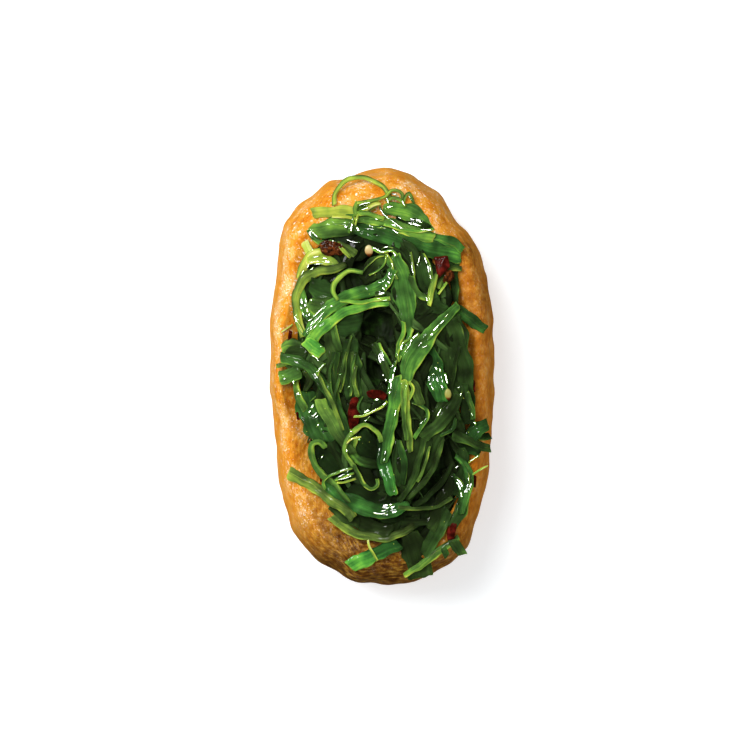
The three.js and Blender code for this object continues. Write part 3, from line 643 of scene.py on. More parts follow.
def lay_strand(store, wide, thick, roll, lift, tone, route, shape=(13, 4), spring=60, cup=None, frill=0.0,
               slant=None, dive=(0, 0), fold=None, pleat=0.02, spacing=STATION, rim=0.6, wet=0.35,
               glint=(), edge=(0, 0), olive=None, stiff=False):
    """Adds one strip to store, resting on what is laid, and raises what is laid to its top.

    shape counts the points on its upper and under face. spring is how far it bridges gaps, and dive
    how far its ends dip. cup, fold, pleat and frill bend it across, and slant cuts its ends askew.
    rim is how broad the painted lime glow along its edge is, edge makes either edge paler or darker,
    olive is its share of stem colour, and wet how wet it is, up to 2 where it is soaked. glint is where the
    lamp shows on it.
    """
    line, s = spline(route, spacing)
    count, total = len(s), s[-1]
    u = s / total
    tangent = np.gradient(line, axis=0)
    tangent /= np.linalg.norm(tangent, axis=1, keepdims=True)
    across = np.stack([-tangent[:, 1], tangent[:, 0]], axis=1)
    if np.size(wide) > 1:
        wide = np.interp(u, np.linspace(0, 1, np.size(wide)), wide)
    w = wide * (1 + wander(s, 8, 0.1))
    line = line + across * wander(s, 7, 0.12)[:, None]
    z, rest = drape(line, across, s, w, thick, lift, spring, dive)
    z, facing = tip_to_lamp(z, rest, s, tangent, thick, glint, stiff)

    # Its section: the upper face from edge to edge, then the underside back again.
    over, below = shape
    turn_top = np.linspace(-1, 1, over)
    turn_base = np.linspace(1, -1, below + 2)[1:-1]
    flat = np.concatenate([np.sin(turn_top * math.pi / 2) * 0.5 + turn_top * 0.5, turn_base])
    sides = over + below
    deep = np.sqrt(np.clip(1 - flat ** 4, 0, 1)) * np.where(np.arange(sides) < over, 1, -1)
    from_end = np.minimum(s, total - s)
    rounded = np.clip(from_end / min(END_ROUND, 0.1 * total), 0, 1)
    tip = np.sqrt(np.clip(1 - (1 - rounded) ** 2, 0.1, 1))
    left_edge = 1 + wander(s, 4.5, 0.1) + wander(s, 1.4, 0.03)
    right_edge = 1 + wander(s, 5.5, 0.1)
    edges = np.where(flat < 0, left_edge[:, None], right_edge[:, None])
    side = flat[None, :] * (w * (0.9 + 0.1 * tip) / 2)[:, None] * edges
    body = thick * (1 + wander(s, 4, 0.12))
    up = deep[None, :] * (body * tip)[:, None] / 2
    cup = dice.uniform(-0.05, 0.08) if cup is None else cup
    up = up + cup * w[:, None] * (flat[None, :] ** 2 - 0.3)

    # A crease along it, where it is half folded, pleats beside that, and frilled edges.
    crease_at = np.clip(dice.uniform(-0.45, 0.45) + wander(s, 12, 0.3), -0.6, 0.6)[:, None]
    fold = dice.uniform(8, 24) if fold is None else fold
    steep = math.tan(math.radians(fold)) * ((1 + wander(s, 9, 0.5)) * (1 - 0.8 * facing))[:, None]
    far = flat[None, :] - crease_at
    up = up - steep * (np.sqrt(far ** 2 + 0.004) - 0.45) * w[:, None] / 2
    pleat_deep = pleat * np.minimum(1, w / 2) * (1 + wander(s, 6, 0.7))
    phase = dice.uniform(0, 6.28) + wander(s, 12, 1.6)
    pleats_apart = dice.uniform(0.9, 1.3)
    up = up + pleat_deep[:, None] * np.cos(2 * math.pi / pleats_apart * side + phase[:, None])
    if frill:
        ripple_left, ripple_right = wander(s, 4.2, frill), wander(s, 3.6, frill)
        ripple = np.where(flat < 0, ripple_left[:, None], ripple_right[:, None])
        up = up + ripple * np.abs(flat[None, :]) ** 1.6

    # It rolls along its length, and its ends are cut askew and a little torn.
    twist = np.radians(roll[0] + (roll[1] - roll[0]) * u + wander(s, 10, 12))
    twist = (twist + (np.arctan(-across @ LAMP_TIP) - twist) * facing)[:, None]
    out = side * np.cos(twist) - up * np.sin(twist)
    rise = side * np.sin(twist) + up * np.cos(twist)
    lean = math.tan(math.radians(dice.uniform(-26, 26) if slant is None else slant))
    torn = 0.04 * np.sin(flat * dice.uniform(3, 6) + dice.uniform(0, 6.28)) * np.mean(w)
    sign = np.where(s < total / 2, -1, 1)[:, None]
    push = np.clip(out * lean, -0.3 * w[:, None], 0.3 * w[:, None]) + sign * torn
    push = push * np.clip(1 - from_end / (0.8 * w + 0.4), 0, 1)[:, None]
    xy = line[:, None, :] + across[:, None, :] * out[..., None] + tangent[:, None, :] * push[..., None]
    points = np.concatenate([xy, (z[:, None] + rise)[..., None]], axis=2)
    raise_laid(points)
    for k in np.linspace(-0.9, 0.9, max(3, int(np.max(w) / CELL * 1.6))):
        spot = line + across * (k * w / 2)[:, None]
        raise_laid(np.concatenate([spot, (z + thick * 0.4)[:, None]], axis=1))

    # Its tone, with painted light: the face that leans away from the lamp is painted lighter, as lit
    # through.
    shade = (tone[0] + (tone[1] - tone[0]) * u + wander(s, 6, 0.07))[:, None] + 0 * up
    leans = across[:, 0] * 0.7 - across[:, 1] * 0.7
    lit_through = min(1, fold / 15) * 0.1
    shade = shade + lit_through * (leans[:, None] * np.sign(far) > 0) * np.clip(np.abs(far) * 4, 0, 1) - 0.03
    # Either edge can be painted paler or darker; where it is darker, that is painted shade along it.
    shade = shade + np.where(flat < 0, edge[0], edge[1])[None, :] * np.abs(flat[None, :]) ** 3
    shade = shade * painted_depth_shade(points[..., 0], points[..., 1], points[..., 2])
    # Distance in mm from the lit edge, where its painted lime glow runs, and from the crease, where a lime
    # line runs.
    lit_edge = np.where(leans < 0, 0.0, 0.4) + np.clip(wander(s, 7, 0.2), -0.15, 0.3)
    unlit = (1 - rim) * 0.3
    edge_far = (1 - np.abs(flat[None, :])) * w[:, None] / 2 + unlit
    edge_far = edge_far + np.where(flat[None, :] < 0, lit_edge[:, None], 0.4 - lit_edge[:, None])
    edge_far = np.minimum(edge_far, from_end[:, None] + 0.12 + unlit)
    ridge_off = np.clip(wander(s, 8, 0.2), 0, 1) + max(0, 18 - fold) * 0.03
    ridge = far * w[:, None] / 2 + np.where(far > 0, 1, -1) * ridge_off[:, None]
    olive = dice.uniform(0.15, 0.75) if olive is None else olive

    store["faces"] += capped_rings(count, sides, store["count"])
    store["points"].append(points.reshape(-1, 3))
    store["tone"].append(shade.ravel())
    store["rim"].append(edge_far.ravel())
    store["ridge"].append(ridge.ravel())
    store["wet"].append((wet + max(0, 1 - wet) * facing[:, None] + 0 * up).ravel())
    store["olive"].append((olive + 0 * up).ravel())
    store["along"].append((s[:, None] + 97 * dice.random() + 0 * up).ravel())
    store["athwart"].append((side + 41 * dice.random()).ravel())
    store["count"] += count * sides


WEED_ATTRIBUTES = ("tone", "rim", "ridge", "wet", "olive", "along", "athwart")


def new_strands():
    """An empty store that strands are added to, with what each point of them carries."""
    return {"points": [], "faces": [], "count": 0, **{key: [] for key in WEED_ATTRIBUTES}}


def finish_strands(name, store, material):
    """Makes one piece of the strands in store."""
    piece = make_piece(
        name, np.vstack(store["points"]), store["faces"],
        **{key: np.concatenate(store[key]) for key in WEED_ATTRIBUTES},
    )
    piece.data.materials.append(material)
    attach(piece, "root")
    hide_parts("seaweed_salad")


# Wakame: blanched stems and leaves, cut in strips and dressed with oil. Translucent, so thin
# strips glow yellow-green and thick ones go to bottle green, with fine lengthwise veins that
# break the wet gloss into streaks.
CLOUD = 2.0
BUBBLES_APART = 1.25
weed, tree = new_material("dressed_wakame")
where = add(tree, "ShaderNodeTexCoord").outputs["Object"]
tone_at, rim_at, ridge_at, wet_at, olive_at, along_at, athwart_at = (
    add(tree, "ShaderNodeAttribute", attribute_name=name).outputs["Fac"] for name in WEED_ATTRIBUTES
)
# Grain drawn out along a strip: its name, length and distance apart in mm, and detail. The real
# veins are finer, and are drawn as coarse as they need to be to show.
WEED_GRAIN = [
    ("vein", 4.5, 0.5, 0.5), ("streak", 14, 1.7, 1), ("fibre", 8, 0.44, 1), ("wrinkle", 0.6, 1.6, 0.5),
    ("break", 3, 6, 2), ("film", 4, 0.42, 1),
]
grain = {}
for name, length, apart, detail in WEED_GRAIN:
    far = add(tree, "ShaderNodeMath", {1: 1 / length}, {0: along_at}, operation="MULTIPLY")
    wide = add(tree, "ShaderNodeMath", {1: 1 / apart}, {0: athwart_at}, operation="MULTIPLY")
    place = add(tree, "ShaderNodeCombineXYZ", links={"X": far, "Y": wide})
    grain[name] = add(
        tree, "ShaderNodeTexNoise", {"Scale": 1.0, "Detail": detail, "Roughness": 0.5}, {"Vector": place}
    )
cloud = add(
    tree, "ShaderNodeTexNoise", {"Scale": 1 / (CLOUD * MM), "Detail": 2, "Roughness": 0.5},
    {"Vector": where},
)
streak_part = add(tree, "ShaderNodeMapRange", {1: 0.3, 2: 0.7, 3: -0.07, 4: 0.07}, {0: grain["streak"]})
fibre_part = add(tree, "ShaderNodeMapRange", {1: 0.34, 2: 0.66, 3: -0.06, 4: 0.06}, {0: grain["fibre"]})
cloud_part = add(tree, "ShaderNodeMapRange", {1: 0.3, 2: 0.7, 3: -0.08, 4: 0.08}, {0: cloud})
streaked = add(tree, "ShaderNodeMath", None, {0: streak_part, 1: cloud_part}, operation="ADD")
lined = add(tree, "ShaderNodeMath", None, {0: streaked, 1: fibre_part}, operation="ADD")
tone_share = add(tree, "ShaderNodeMapRange", {1: 0.08, 2: 0.45, 3: 0.15, 4: 1.0}, {0: tone_at})
# Painted light: the strip is thinnest at its edge, so it is painted lighter there, as if more light came
# through.
thin_edge = add(
    tree, "ShaderNodeMapRange", {1: 0.0, 2: 0.55, 3: 0.22, 4: 0.0}, {0: rim_at},
    interpolation_type="SMOOTHSTEP",
)
varied = add(tree, "ShaderNodeMath", None, {0: lined, 1: thin_edge}, operation="ADD")
part_varied = add(tree, "ShaderNodeMath", None, {0: varied, 1: tone_share}, operation="MULTIPLY")
shaded = add(tree, "ShaderNodeMath", None, {0: tone_at, 1: part_varied}, operation="ADD")
leaf_green = add(tree, "ShaderNodeValToRGB", links={"Fac": shaded})
set_ramp(leaf_green, [
    (0.0, "#0d140a"), (0.14, "#172a12"), (0.3, "#264a20"), (0.46, "#38702e"),
    (0.6, "#549838"), (0.74, "#7cb642"), (0.87, "#a6cc54"), (1.0, "#d0dc84"),
])
# Stems and older leaves are olive where young leaves are green.
stem_green = add(tree, "ShaderNodeValToRGB", links={"Fac": shaded})
set_ramp(stem_green, [
    (0.0, "#12150a"), (0.14, "#222813"), (0.3, "#3a4620"), (0.46, "#58692e"),
    (0.6, "#7c8e38"), (0.74, "#9ca83e"), (0.87, "#b8be4c"), (1.0, "#d6d684"),
])
stem_or_leaf = add(
    tree, "ShaderNodeMix", None, {0: olive_at, 6: leaf_green, 7: stem_green}, data_type="RGBA"
)
# Small air bubbles in the dressing show as pale dots.
bubbles = add(tree, "ShaderNodeTexVoronoi", {"Scale": 1 / (BUBBLES_APART * MM)}, {"Vector": where})
bubble_kind = add(tree, "ShaderNodeSeparateColor", None, {"Color": bubbles.outputs["Color"]})
few = add(tree, "ShaderNodeMath", {1: 0.8}, {0: bubble_kind}, operation="GREATER_THAN")
dot = add(tree, "ShaderNodeMapRange", {1: 0.05, 2: 0.09, 3: 0.6, 4: 0.0}, {0: bubbles})
dots = add(tree, "ShaderNodeMath", None, {0: dot, 1: few}, operation="MULTIPLY")
# A lime line is painted along the edge that the light comes out of, as its glow, and along a sharp crease.
rim_line = add(tree, "ShaderNodeMapRange", {1: 0.08, 2: 0.26, 3: 0.95, 4: 0.0}, {0: rim_at})
ridge_far = add(tree, "ShaderNodeMath", None, {0: ridge_at}, operation="ABSOLUTE")
ridge_line = add(tree, "ShaderNodeMapRange", {1: 0.03, 2: 0.16, 3: 0.4, 4: 0.0}, {0: ridge_far})
lines = add(tree, "ShaderNodeMath", None, {0: rim_line, 1: ridge_line}, operation="MAXIMUM")
broken = add(tree, "ShaderNodeMapRange", {1: 0.42, 2: 0.56, 3: 0.1, 4: 1.0}, {0: grain["break"]})
glow = add(tree, "ShaderNodeMath", None, {0: lines, 1: broken}, operation="MULTIPLY")
glow_share = add(tree, "ShaderNodeMapRange", {1: 0.22, 2: 0.6, 3: 0.0, 4: 1.0}, {0: tone_at})
glow_seen = add(tree, "ShaderNodeMath", None, {0: glow, 1: glow_share}, operation="MULTIPLY")
pale_seen = add(tree, "ShaderNodeMath", None, {0: glow_seen, 1: dots}, operation="MAXIMUM")
weed_colour = add(
    tree, "ShaderNodeMix", {7: linear("#c6d650")}, {0: pale_seen, 6: stem_or_leaf.outputs[2]},
    data_type="RGBA",
)
ripple_part = add(tree, "ShaderNodeMapRange", {1: 0.05, 2: 0.3, 3: 0.2, 4: 1.0}, {0: tone_at})
smooth_part = add(tree, "ShaderNodeMapRange", {1: 1.0, 2: 2.0, 3: 1.0, 4: 0.1}, {0: wet_at})
film_ripple = add(tree, "ShaderNodeMath", None, {0: ripple_part, 1: smooth_part}, operation="MULTIPLY")
vein_bump = add(
    tree, "ShaderNodeBump", {"Distance": 0.2 * MM}, {"Strength": film_ripple, "Height": grain["vein"]}
)
wrinkle_bump = add(
    tree, "ShaderNodeBump", {"Distance": 0.05 * MM},
    {"Strength": film_ripple, "Height": grain["wrinkle"], "Normal": vein_bump},
)
soft_bump = add(
    tree, "ShaderNodeBump", {"Distance": 0.05 * MM}, {"Strength": ripple_part, "Height": grain["vein"]}
)
# The dressing stays in films between the veins, so its shine is combed into streaks.
film = add(tree, "ShaderNodeMapRange", {1: 0.46, 2: 0.52, 3: 0.06, 4: 1.0}, {0: grain["film"]})
film_part = add(tree, "ShaderNodeMath", None, {0: film, 1: wet_at}, operation="MULTIPLY")
soaked = add(tree, "ShaderNodeMapRange", {1: 1.0, 2: 2.0, 3: 0.0, 4: 1.0}, {0: wet_at})
film_seen = add(
    tree, "ShaderNodeMath", None, {0: film_part, 1: soaked}, operation="MAXIMUM", use_clamp=True
)
weed_shader = add(
    tree, "ShaderNodeBsdfPrincipled",
    {"IOR": 1.4, "Specular IOR Level": 0.0, "Roughness": 0.5,
     "Subsurface Weight": 0.25, "Subsurface Radius": (0.5, 1.0, 0.2), "Subsurface Scale": 0.6 * MM,
     "Coat Roughness": 0.04, "Coat IOR": 1.6},
    {"Base Color": weed_colour.outputs[2], "Normal": soft_bump,
     "Coat Weight": film_seen, "Coat Normal": wrinkle_bump},
)
add(tree, "ShaderNodeOutputMaterial", links={"Surface": weed_shader})

# The strands further down are the same stuff in the shade of the others: dark, and hardly lit.
shaded_weed, tree = new_material("wakame_in_shade")
tone_at, along_at, athwart_at = (
    add(tree, "ShaderNodeAttribute", attribute_name=name).outputs["Fac"]
    for name in ("tone", "along", "athwart")
)
dim_grain = {}
for name, length, apart, detail in [("streak", 9, 1, 3), ("vein", 4, 0.5, 0.5)]:
    far = add(tree, "ShaderNodeMath", {1: 1 / length}, {0: along_at}, operation="MULTIPLY")
    wide = add(tree, "ShaderNodeMath", {1: 1 / apart}, {0: athwart_at}, operation="MULTIPLY")
    place = add(tree, "ShaderNodeCombineXYZ", links={"X": far, "Y": wide})
    dim_grain[name] = add(
        tree, "ShaderNodeTexNoise", {"Scale": 1.0, "Detail": detail, "Roughness": 0.5}, {"Vector": place}
    )
dim_part = add(tree, "ShaderNodeMapRange", {1: 0.3, 2: 0.7, 3: -0.09, 4: 0.09}, {0: dim_grain["streak"]})
dim_tone = add(tree, "ShaderNodeMath", None, {0: tone_at, 1: dim_part}, operation="ADD")
dim_green = add(tree, "ShaderNodeValToRGB", links={"Fac": dim_tone})
set_ramp(dim_green, [
    (0.0, "#10150a"), (0.14, "#1c2612"), (0.3, "#2e4220"), (0.46, "#486432"), (0.7, "#768e48"),
])
dim_bump = add(
    tree, "ShaderNodeBump", {"Strength": 0.5, "Distance": 0.12 * MM}, {"Height": dim_grain["vein"]}
)
shaded_shader = add(
    tree, "ShaderNodeBsdfPrincipled",
    {"IOR": 1.42, "Specular IOR Level": 0.03, "Roughness": 0.05, "Subsurface Weight": 0.2,
     "Subsurface Radius": (0.5, 1.0, 0.2), "Subsurface Scale": 0.6 * MM},
    {"Base Color": dim_green, "Normal": dim_bump},
)
add(tree, "ShaderNodeOutputMaterial", links={"Surface": shaded_shader})

# The strands under the ones that show: they run along the pocket in its middle and turn with
# its outline towards both ends.
# First FILL_COUNT broad ones are laid, then MIDDLE_COUNT thin ones. A route that is too short is
# drawn again, up to TRIES times as often as strands are wanted.
FILL_COUNT, MIDDLE_COUNT = 150, 34
TRIES = 4


def flow_at(x, y):
    """Heading of the strands at a place, in radians."""
    dx, dy = (x - HEAP_CENTRE[0]) / HEAP_HALF_WIDTH ** 2, (y - HEAP_CENTRE[1]) / HEAP_HALF_LENGTH ** 2
    round_heading = math.atan2(dx, -dy)
    edge_pull = min(1.0, (abs(y - HEAP_CENTRE[1]) / HEAP_HALF_LENGTH) ** 3 * 1.6)
    c = math.cos(round_heading) * edge_pull
    s = math.sin(round_heading) * edge_pull + (1 - edge_pull) * (1 if math.sin(round_heading) >= 0 else -1)
    return math.atan2(s, c)


def fill_route(length, swing, bend, spread):
    """A route of a few points that follows the flow, or None where it would leave the heap."""
    y = HEAP_CENTRE[1] + dice.uniform(-1, 1) * HEAP_HALF_LENGTH
    x = HEAP_CENTRE[0] + HEAP_LEAN * (y - HEAP_CENTRE[1]) + dice.uniform(-1.05, 1.05) * HEAP_HALF_WIDTH
    swing, bend = dice.normal(0, swing), dice.normal(0, bend)
    wave, route = dice.uniform(0, 6.28), []
    for step in range(int(length / 2) + 1):
        margin = spread if abs(y - HEAP_CENTRE[1]) < 0.7 * HEAP_HALF_LENGTH else spread - 0.08
        if heap_share(x, y) >= margin:
            break
        if any((x - hx) ** 2 + (y - hy) ** 2 < (0.9 * far) ** 2 for hx, hy, far, _ in HOLLOWS):
            break
        route.append((x, y))
        heading = flow_at(x, y) + swing + bend * step + 0.3 * math.sin(wave + 0.5 * step)
        x, y = x + 2 * math.cos(heading), y + 2 * math.sin(heading)
    return route if len(route) > 3 else None


under_strands = new_strands()
made = 0
for _ in range(TRIES * FILL_COUNT):
    route = fill_route(dice.uniform(16, 44), 0.45, 0.08, 0.97)
    if route is None or made == FILL_COUNT:
        continue
    made += 1
    wide = dice.choice([1.1, 2.2, 3.6, 5.4], p=[0.2, 0.3, 0.3, 0.2]) * dice.uniform(0.85, 1.15)
    tone = dice.uniform(0.03, 0.28)
    lay_strand(
        under_strands, (0.6 * wide, wide, 0.9 * wide, 0.5 * wide), dice.uniform(0.3, 0.5),
        dice.uniform(-35, 35, 2), 0, (tone, tone + dice.uniform(-0.1, 0.12)), route, shape=(11, 2),
        spring=30, frill=0.08, dive=(1.2, 1.2), fold=dice.uniform(2, 12), spacing=0.75,
    )
made = 0
for _ in range(TRIES * MIDDLE_COUNT):
    route = fill_route(dice.uniform(18, 44), 0.5, 0.12, 1.04)
    if route is None or made == MIDDLE_COUNT:
        continue
    made += 1
    wide = dice.choice([0.5, 0.9, 1.5], p=[0.4, 0.35, 0.25]) * dice.uniform(0.85, 1.15)
    tone = dice.uniform(0.12, 0.4)
    lay_strand(
        under_strands, (0.5 * wide, wide, wide, 0.5 * wide), dice.uniform(0.35, 0.6),
        dice.uniform(-30, 30, 2), 0, (tone, tone + dice.uniform(-0.1, 0.15)), route, shape=(9, 3),
        spring=40, dive=(1.5, 1.5), fold=10, spacing=0.6,
    )
finish_strands("wakame_underneath", under_strands, shaded_weed)

# The placed ones of the lower layer, lowest first: name, width (or widths along it) and thickness
# in mm, roll at both ends in degrees, lift of the middle in mm, tone at both ends, the route, and
# what it has otherwise than most.
LOW_STRANDS = [
    ("right body leaf", (6.1, 7.7, 7.7, 5.2), 0.5, (4, -4), 0, (0.2, 0.24), [
        (12.8, 10.8), (13.6, 5.2), (13.4, -0.8), (11.8, -7.2)], {"frill": 0.12, "olive": 0.5}),
    ("wet leaf", (2.4, 3.8, 4, 2.4), 0.5, (0, 0), 0.1, (0.22, 0.44), [
        (9.2, 6), (11.8, -5.2)], {"glint": (0.45, 0.68), "wet": 0.5, "rim": 0.5, "olive": 0.05}),
    ("right outer leaf", (2.4, 3.6, 3.4, 2.4), 0.5, (-4, 6), 0, (0.24, 0.18), [
        (13.6, 11.6), (16.1, 2.8), (17.3, -7.2)], {"olive": 0.5}),
    ("deep right band", (3.2, 4.8, 5.2, 4), 0.5, (3, -3), 0, (0.22, 0.15), [
        (15.1, -3.2), (9.6, -12.8), (7.6, -18.3), (4, -23.9)], {"olive": 0.5}),
    ("deep middle leaf", (4, 5.7, 4.8), 0.5, (-3, 3), 0, (0.16, 0.13), [
        (8.4, -10.8), (6.4, -16.3), (3.6, -21.9)], {"olive": 0.5}),
    ("deep middle strip", (2, 2.4, 1.8), 0.5, (6, -4), 0, (0.22, 0.18), [
        (3.6, -12.8), (3, -17.1), (3.2, -21.9)], {}),
    ("left middle leaf", (3.2, 4.4, 3.6), 0.5, (5, 0), 0, (0.24, 0.2), [
        (-6.4, 7.2), (-6.4, 1.6), (-5.8, -4.4)], {}),
    ("left middle strip", (2.4, 3.6, 2.8), 0.5, (-5, 3), 0, (0.24, 0.22), [
        (-10.8, 8.8), (-9.2, 3.2), (-10.2, -4)], {}),
    ("left dark leaf", (4, 6.1, 4.8), 0.5, (3, 3), 0, (0.12, 0.1), [
        (-12.8, -12), (-10.4, -15.9), (-7.2, -19.9)], {}),
    ("bottom dark leaf", (4, 6.1, 4), 0.5, (0, 4), 0, (0.1, 0.12), [(-6, -21.9), (3.6, -28.7)], {}),
    ("bottom leaf", (2.4, 3.2, 2.8), 0.5, (6, 2), 0, (0.24, 0.2), [
        (-8.4, -24.3), (-6, -27.5), (-2.4, -30.1), (2, -30.9)], {"olive": 0.6}),
    ("bottom right leaf", (2.4, 3.2, 2.8), 0.5, (-4, 4), 0, (0.22, 0.2), [
        (13.4, -18.7), (12.8, -23.1), (11.2, -27.1), (9.2, -30.3)], {"olive": 0.6}),
    ("big end leaf", (3.6, 5.2, 5.5, 5), 0.5, (3, -2), 0, (0.22, 0.28), [
        (5.6, -31.1), (7.4, -37.9), (7.8, -40.3)], {"slant": 0, "olive": 0.6}),
    ("end leaf beside", (2.4, 3, 2.6), 0.5, (4, -3), 0, (0.28, 0.34), [
        (13.2, -26.7), (8.4, -35.9)], {"slant": 25, "olive": 0.4}),
    ("hollow leaf", (5.2, 6.9, 4.4), 0.5, (4, -6), 0, (0.26, 0.2), [
        (-10.4, 11.6), (-7.4, 10.8), (-4, 11.6)], {"rim": 0.4, "frill": 0.1}),
    ("leaf behind bow", (2.8, 4, 2.8), 0.5, (4, -4), 0, (0.4, 0.34), [
        (-14.7, 14.3), (-11.4, 13.6), (-7.4, 14)], {}),
    ("upper left shade", (2.8, 4.4, 2.8), 0.5, (8, 0), 0, (0.22, 0.26), [
        (-14.3, 18.3), (-12, 17.1), (-9.6, 16.3)], {}),
    ("upper dark leaf", (2.8, 4, 2.4), 0.5, (-6, 6), 0, (0.28, 0.22), [
        (1.6, 23.9), (-1.2, 21.9), (-4, 19.1)], {"rim": 0.3}),
    ("hanging strip", (3.2, 4.4, 4.8, 3.2, 1.6), 0.5, (4, -6), 0.1, (0.52, 0.36), [
        (2, 23.9), (3.6, 19.9), (5.6, 8.8)], {"olive": 0.3}),
    ("left edge leaf", (4, 5.9, 5.5, 3.6), 0.5, (-4, 4), 0, (0.36, 0.3), [
        (-15.1, -3.2), (-14.2, -6.8), (-12.8, -10.4),
        (-11.2, -13.2)], {"rim": 0.5, "pleat": 0.05, "olive": 0.2}),
    ("right rear leaf", (2.8, 3.6, 2.8), 0.5, (-4, 4), 0, (0.24, 0.2), [
        (8.4, 16.7), (10.4, 14), (12.8, 12.4)], {}),
    ("upper right shade", (2, 2.8, 2), 0.5, (5, -5), 0, (0.26, 0.2), [
        (7.6, 22.7), (8.6, 18.7), (10.4, 15.1)], {}),
    ("right tuck", 2.2, 0.5, (0, 12), 0, (0.16, 0.2), [(15.1, -14.3), (17.5, -14.7), (19.5, -15.5)], {}),
    ("right tuck 2", 1.4, 0.5, (0, 10), 0, (0.2, 0.22), [(18.3, -12), (20.3, -12.2), (21.7, -12)], {}),
    ("hollow side strip", 1, 0.5, (12, -8), 0, (0.3, 0.42), [
        (-6, 4.8), (-5.4, -2.4), (-4.8, -4.2)], {"olive": 0.7}),
    ("left low strand", 1.4, 0.5, (10, -10), 0, (0.36, 0.34), [
        (-9.8, 10.4), (-8.6, 4.8)], {"rim": 0.5, "olive": 0.5}),
    ("left dark strand", 1.6, 0.5, (8, -8), 0, (0.24, 0.28), [
        (-9.2, 4.8), (-9.6, 0.4), (-9.2, -4.4), (-7.6, -8.8)], {}),
    ("left tuck leaf", 2.2, 0.5, (-10, 8), 0, (0.44, 0.34), [
        (-20.1, 5.6), (-18.1, 6.2), (-15.7, 5.6)], {"olive": 0.5}),
    ("middle low strand", 1.4, 0.5, (10, -8), 0, (0.28, 0.22), [
        (3.2, -12.8), (4.4, -17.1), (4, -21.5)], {}),
    ("right low thread", 0.8, 0.5, (0, 0), 0, (0.2, 0.2), [
        (15.5, 6), (14.3, 0.8), (14, -4.4), (15.5, -8.8)], {}),
    ("right low thread 2", 0.7, 0.5, (0, 0), 0, (0.34, 0.28), [(11.6, -12), (14, -10.4), (14.7, -8.4)], {}),
    ("right gap fill", (1.6, 2.6, 2), 0.5, (0, 0), 0, (0.16, 0.14), [
        (16.1, -1.6), (17.3, -9.6)], {"olive": 0.4}),
    ("left cluster fill", (3.2, 5.2, 4.8), 0.5, (0, 0), 0, (0.3, 0.24), [
        (-19.3, 3.6), (-17.5, 3.6), (-15.3, 3.2)], {"olive": 0.5, "rim": 0.2}),
    ("upper right fill", (2.2, 2.2, 1.8, 1.6), 0.5, (0, 0), 0, (0.22, 0.16), [
        (14.2, 24.3), (14.5, 14.7)], {"olive": 0.4}),
    ("lower right fill", (2, 2.8, 2), 0.5, (0, 0), 0, (0.32, 0.34), [
        (16.7, -23.5), (15.7, -26.7), (14, -30.3)], {"olive": 0.4}),
    ("lower left fill", (1.6, 2.6, 1.8), 0.5, (0, 0), 0, (0.22, 0.2), [
        (-10.4, -25.9), (-7.6, -27.9), (-4.4, -29.7)], {"olive": 0.6}),
    ("low right fill", (1.6, 2.4, 2.6, 1.6), 0.5, (0, 0), 0, (0.2, 0.22), [
        (15.9, -14.3), (16.3, -17.5), (15.7, -20.7), (14.5, -23.9)], {"olive": 0.4}),
]
# A strip this many mm wide or more is a leaf, and below that other width it is a thread.
LEAF_FROM, THREAD_BELOW = 2.6, 1.15


def lay_all(store, strands, wet):
    """Lays placed strips in turn. A broad one is a leaf, nearly flat, with frilled edges."""
    for name, wide, thick, roll, lift, tone, route, more in strands:
        broad, thread = np.max(wide) >= LEAF_FROM, np.max(wide) < THREAD_BELOW
        usual = {
            "frill": 0.08 if broad else 0.03, "pleat": 0.03 if broad else 0.05, "spring": 50, "wet": wet,
            "shape": (25, 5) if broad else (9, 3) if thread else (15, 4),
        }
        if broad or thread:
            usual["fold"] = 5
        lay_strand(store, wide, thick, roll, lift, tone, route, **{**usual, **more})


low_strands = new_strands()
lay_all(low_strands, LOW_STRANDS, 0.06)
finish_strands("wakame_low", low_strands, weed)


# ---- Chilli flakes ----
# Dried red chilli, crushed into small flat flakes with a few corners. Wet with the dressing, they
# are dark red and let a little light through.

SCRAP_ROUND = 36
SCRAP_SHARES = [0.04, 0.35, 0.6, 0.78, 0.9, 0.97, 1.0]


def lay_scrap(store, outline, thick, bumpy=0.0, lean=(0.0, 0.0), lift=0.0, corner=1):
    """Adds a small flat or domed scrap with this outline in mm, resting on what is laid.

    bumpy is how deep its crinkles are in mm, lean its slope across and along in degrees, lift how
    far it stands off what is under it, and corner how many times its corners are rounded.
    """
    outline = np.array(outline, float)
    ring = np.vstack([outline, outline[:1]])
    far = np.concatenate([[0], np.cumsum(np.linalg.norm(np.diff(ring, axis=0), axis=1))])
    at = np.linspace(0, far[-1], SCRAP_ROUND, endpoint=False)
    rim = np.stack([np.interp(at, far, ring[:, k]) for k in (0, 1)], axis=1)
    for _ in range(corner):
        rim = 0.25 * np.roll(rim, 1, axis=0) + 0.5 * rim + 0.25 * np.roll(rim, -1, axis=0)
    centre = rim.mean(axis=0)
    share = np.array(SCRAP_SHARES)[:, None, None]
    plan = centre + share * (rim - centre)
    under = laid[cells(plan[..., 0], plan[..., 1])]
    rest = 0.5 * under.max() + 0.5 * under.mean() + lift
    slope = (plan[..., 0] - centre[0]) * math.tan(math.radians(lean[0]))
    slope = slope + (plan[..., 1] - centre[1]) * math.tan(math.radians(lean[1]))
    half = 0.5 * thick * np.sqrt(np.clip(1 - share[..., 0] ** 4, 0.05, 1))
    bump = noise_at(np.concatenate([plan, 0 * plan[..., :1]], axis=2), 0.9, 31, 2) * bumpy
    middle = rest + thick / 2 + slope
    top = np.concatenate([plan, (middle + half + bump)[..., None]], axis=2)
    base = np.concatenate([plan, (middle - half + bump)[..., None]], axis=2)[::-1]
    points = np.concatenate([top, base])
    raise_laid(top)
    start, rows = store["count"], len(points)
    store["points"].append(points.reshape(-1, 3))
    store["faces"] += [face[::-1] for face in capped_rings(rows, SCRAP_ROUND, start)]
    low_end = (points[..., 1] - points[..., 1].min()) / max(np.ptp(points[..., 1]), 1e-6)
    store["low_end"].append(low_end.ravel())
    store["count"] += rows * SCRAP_ROUND


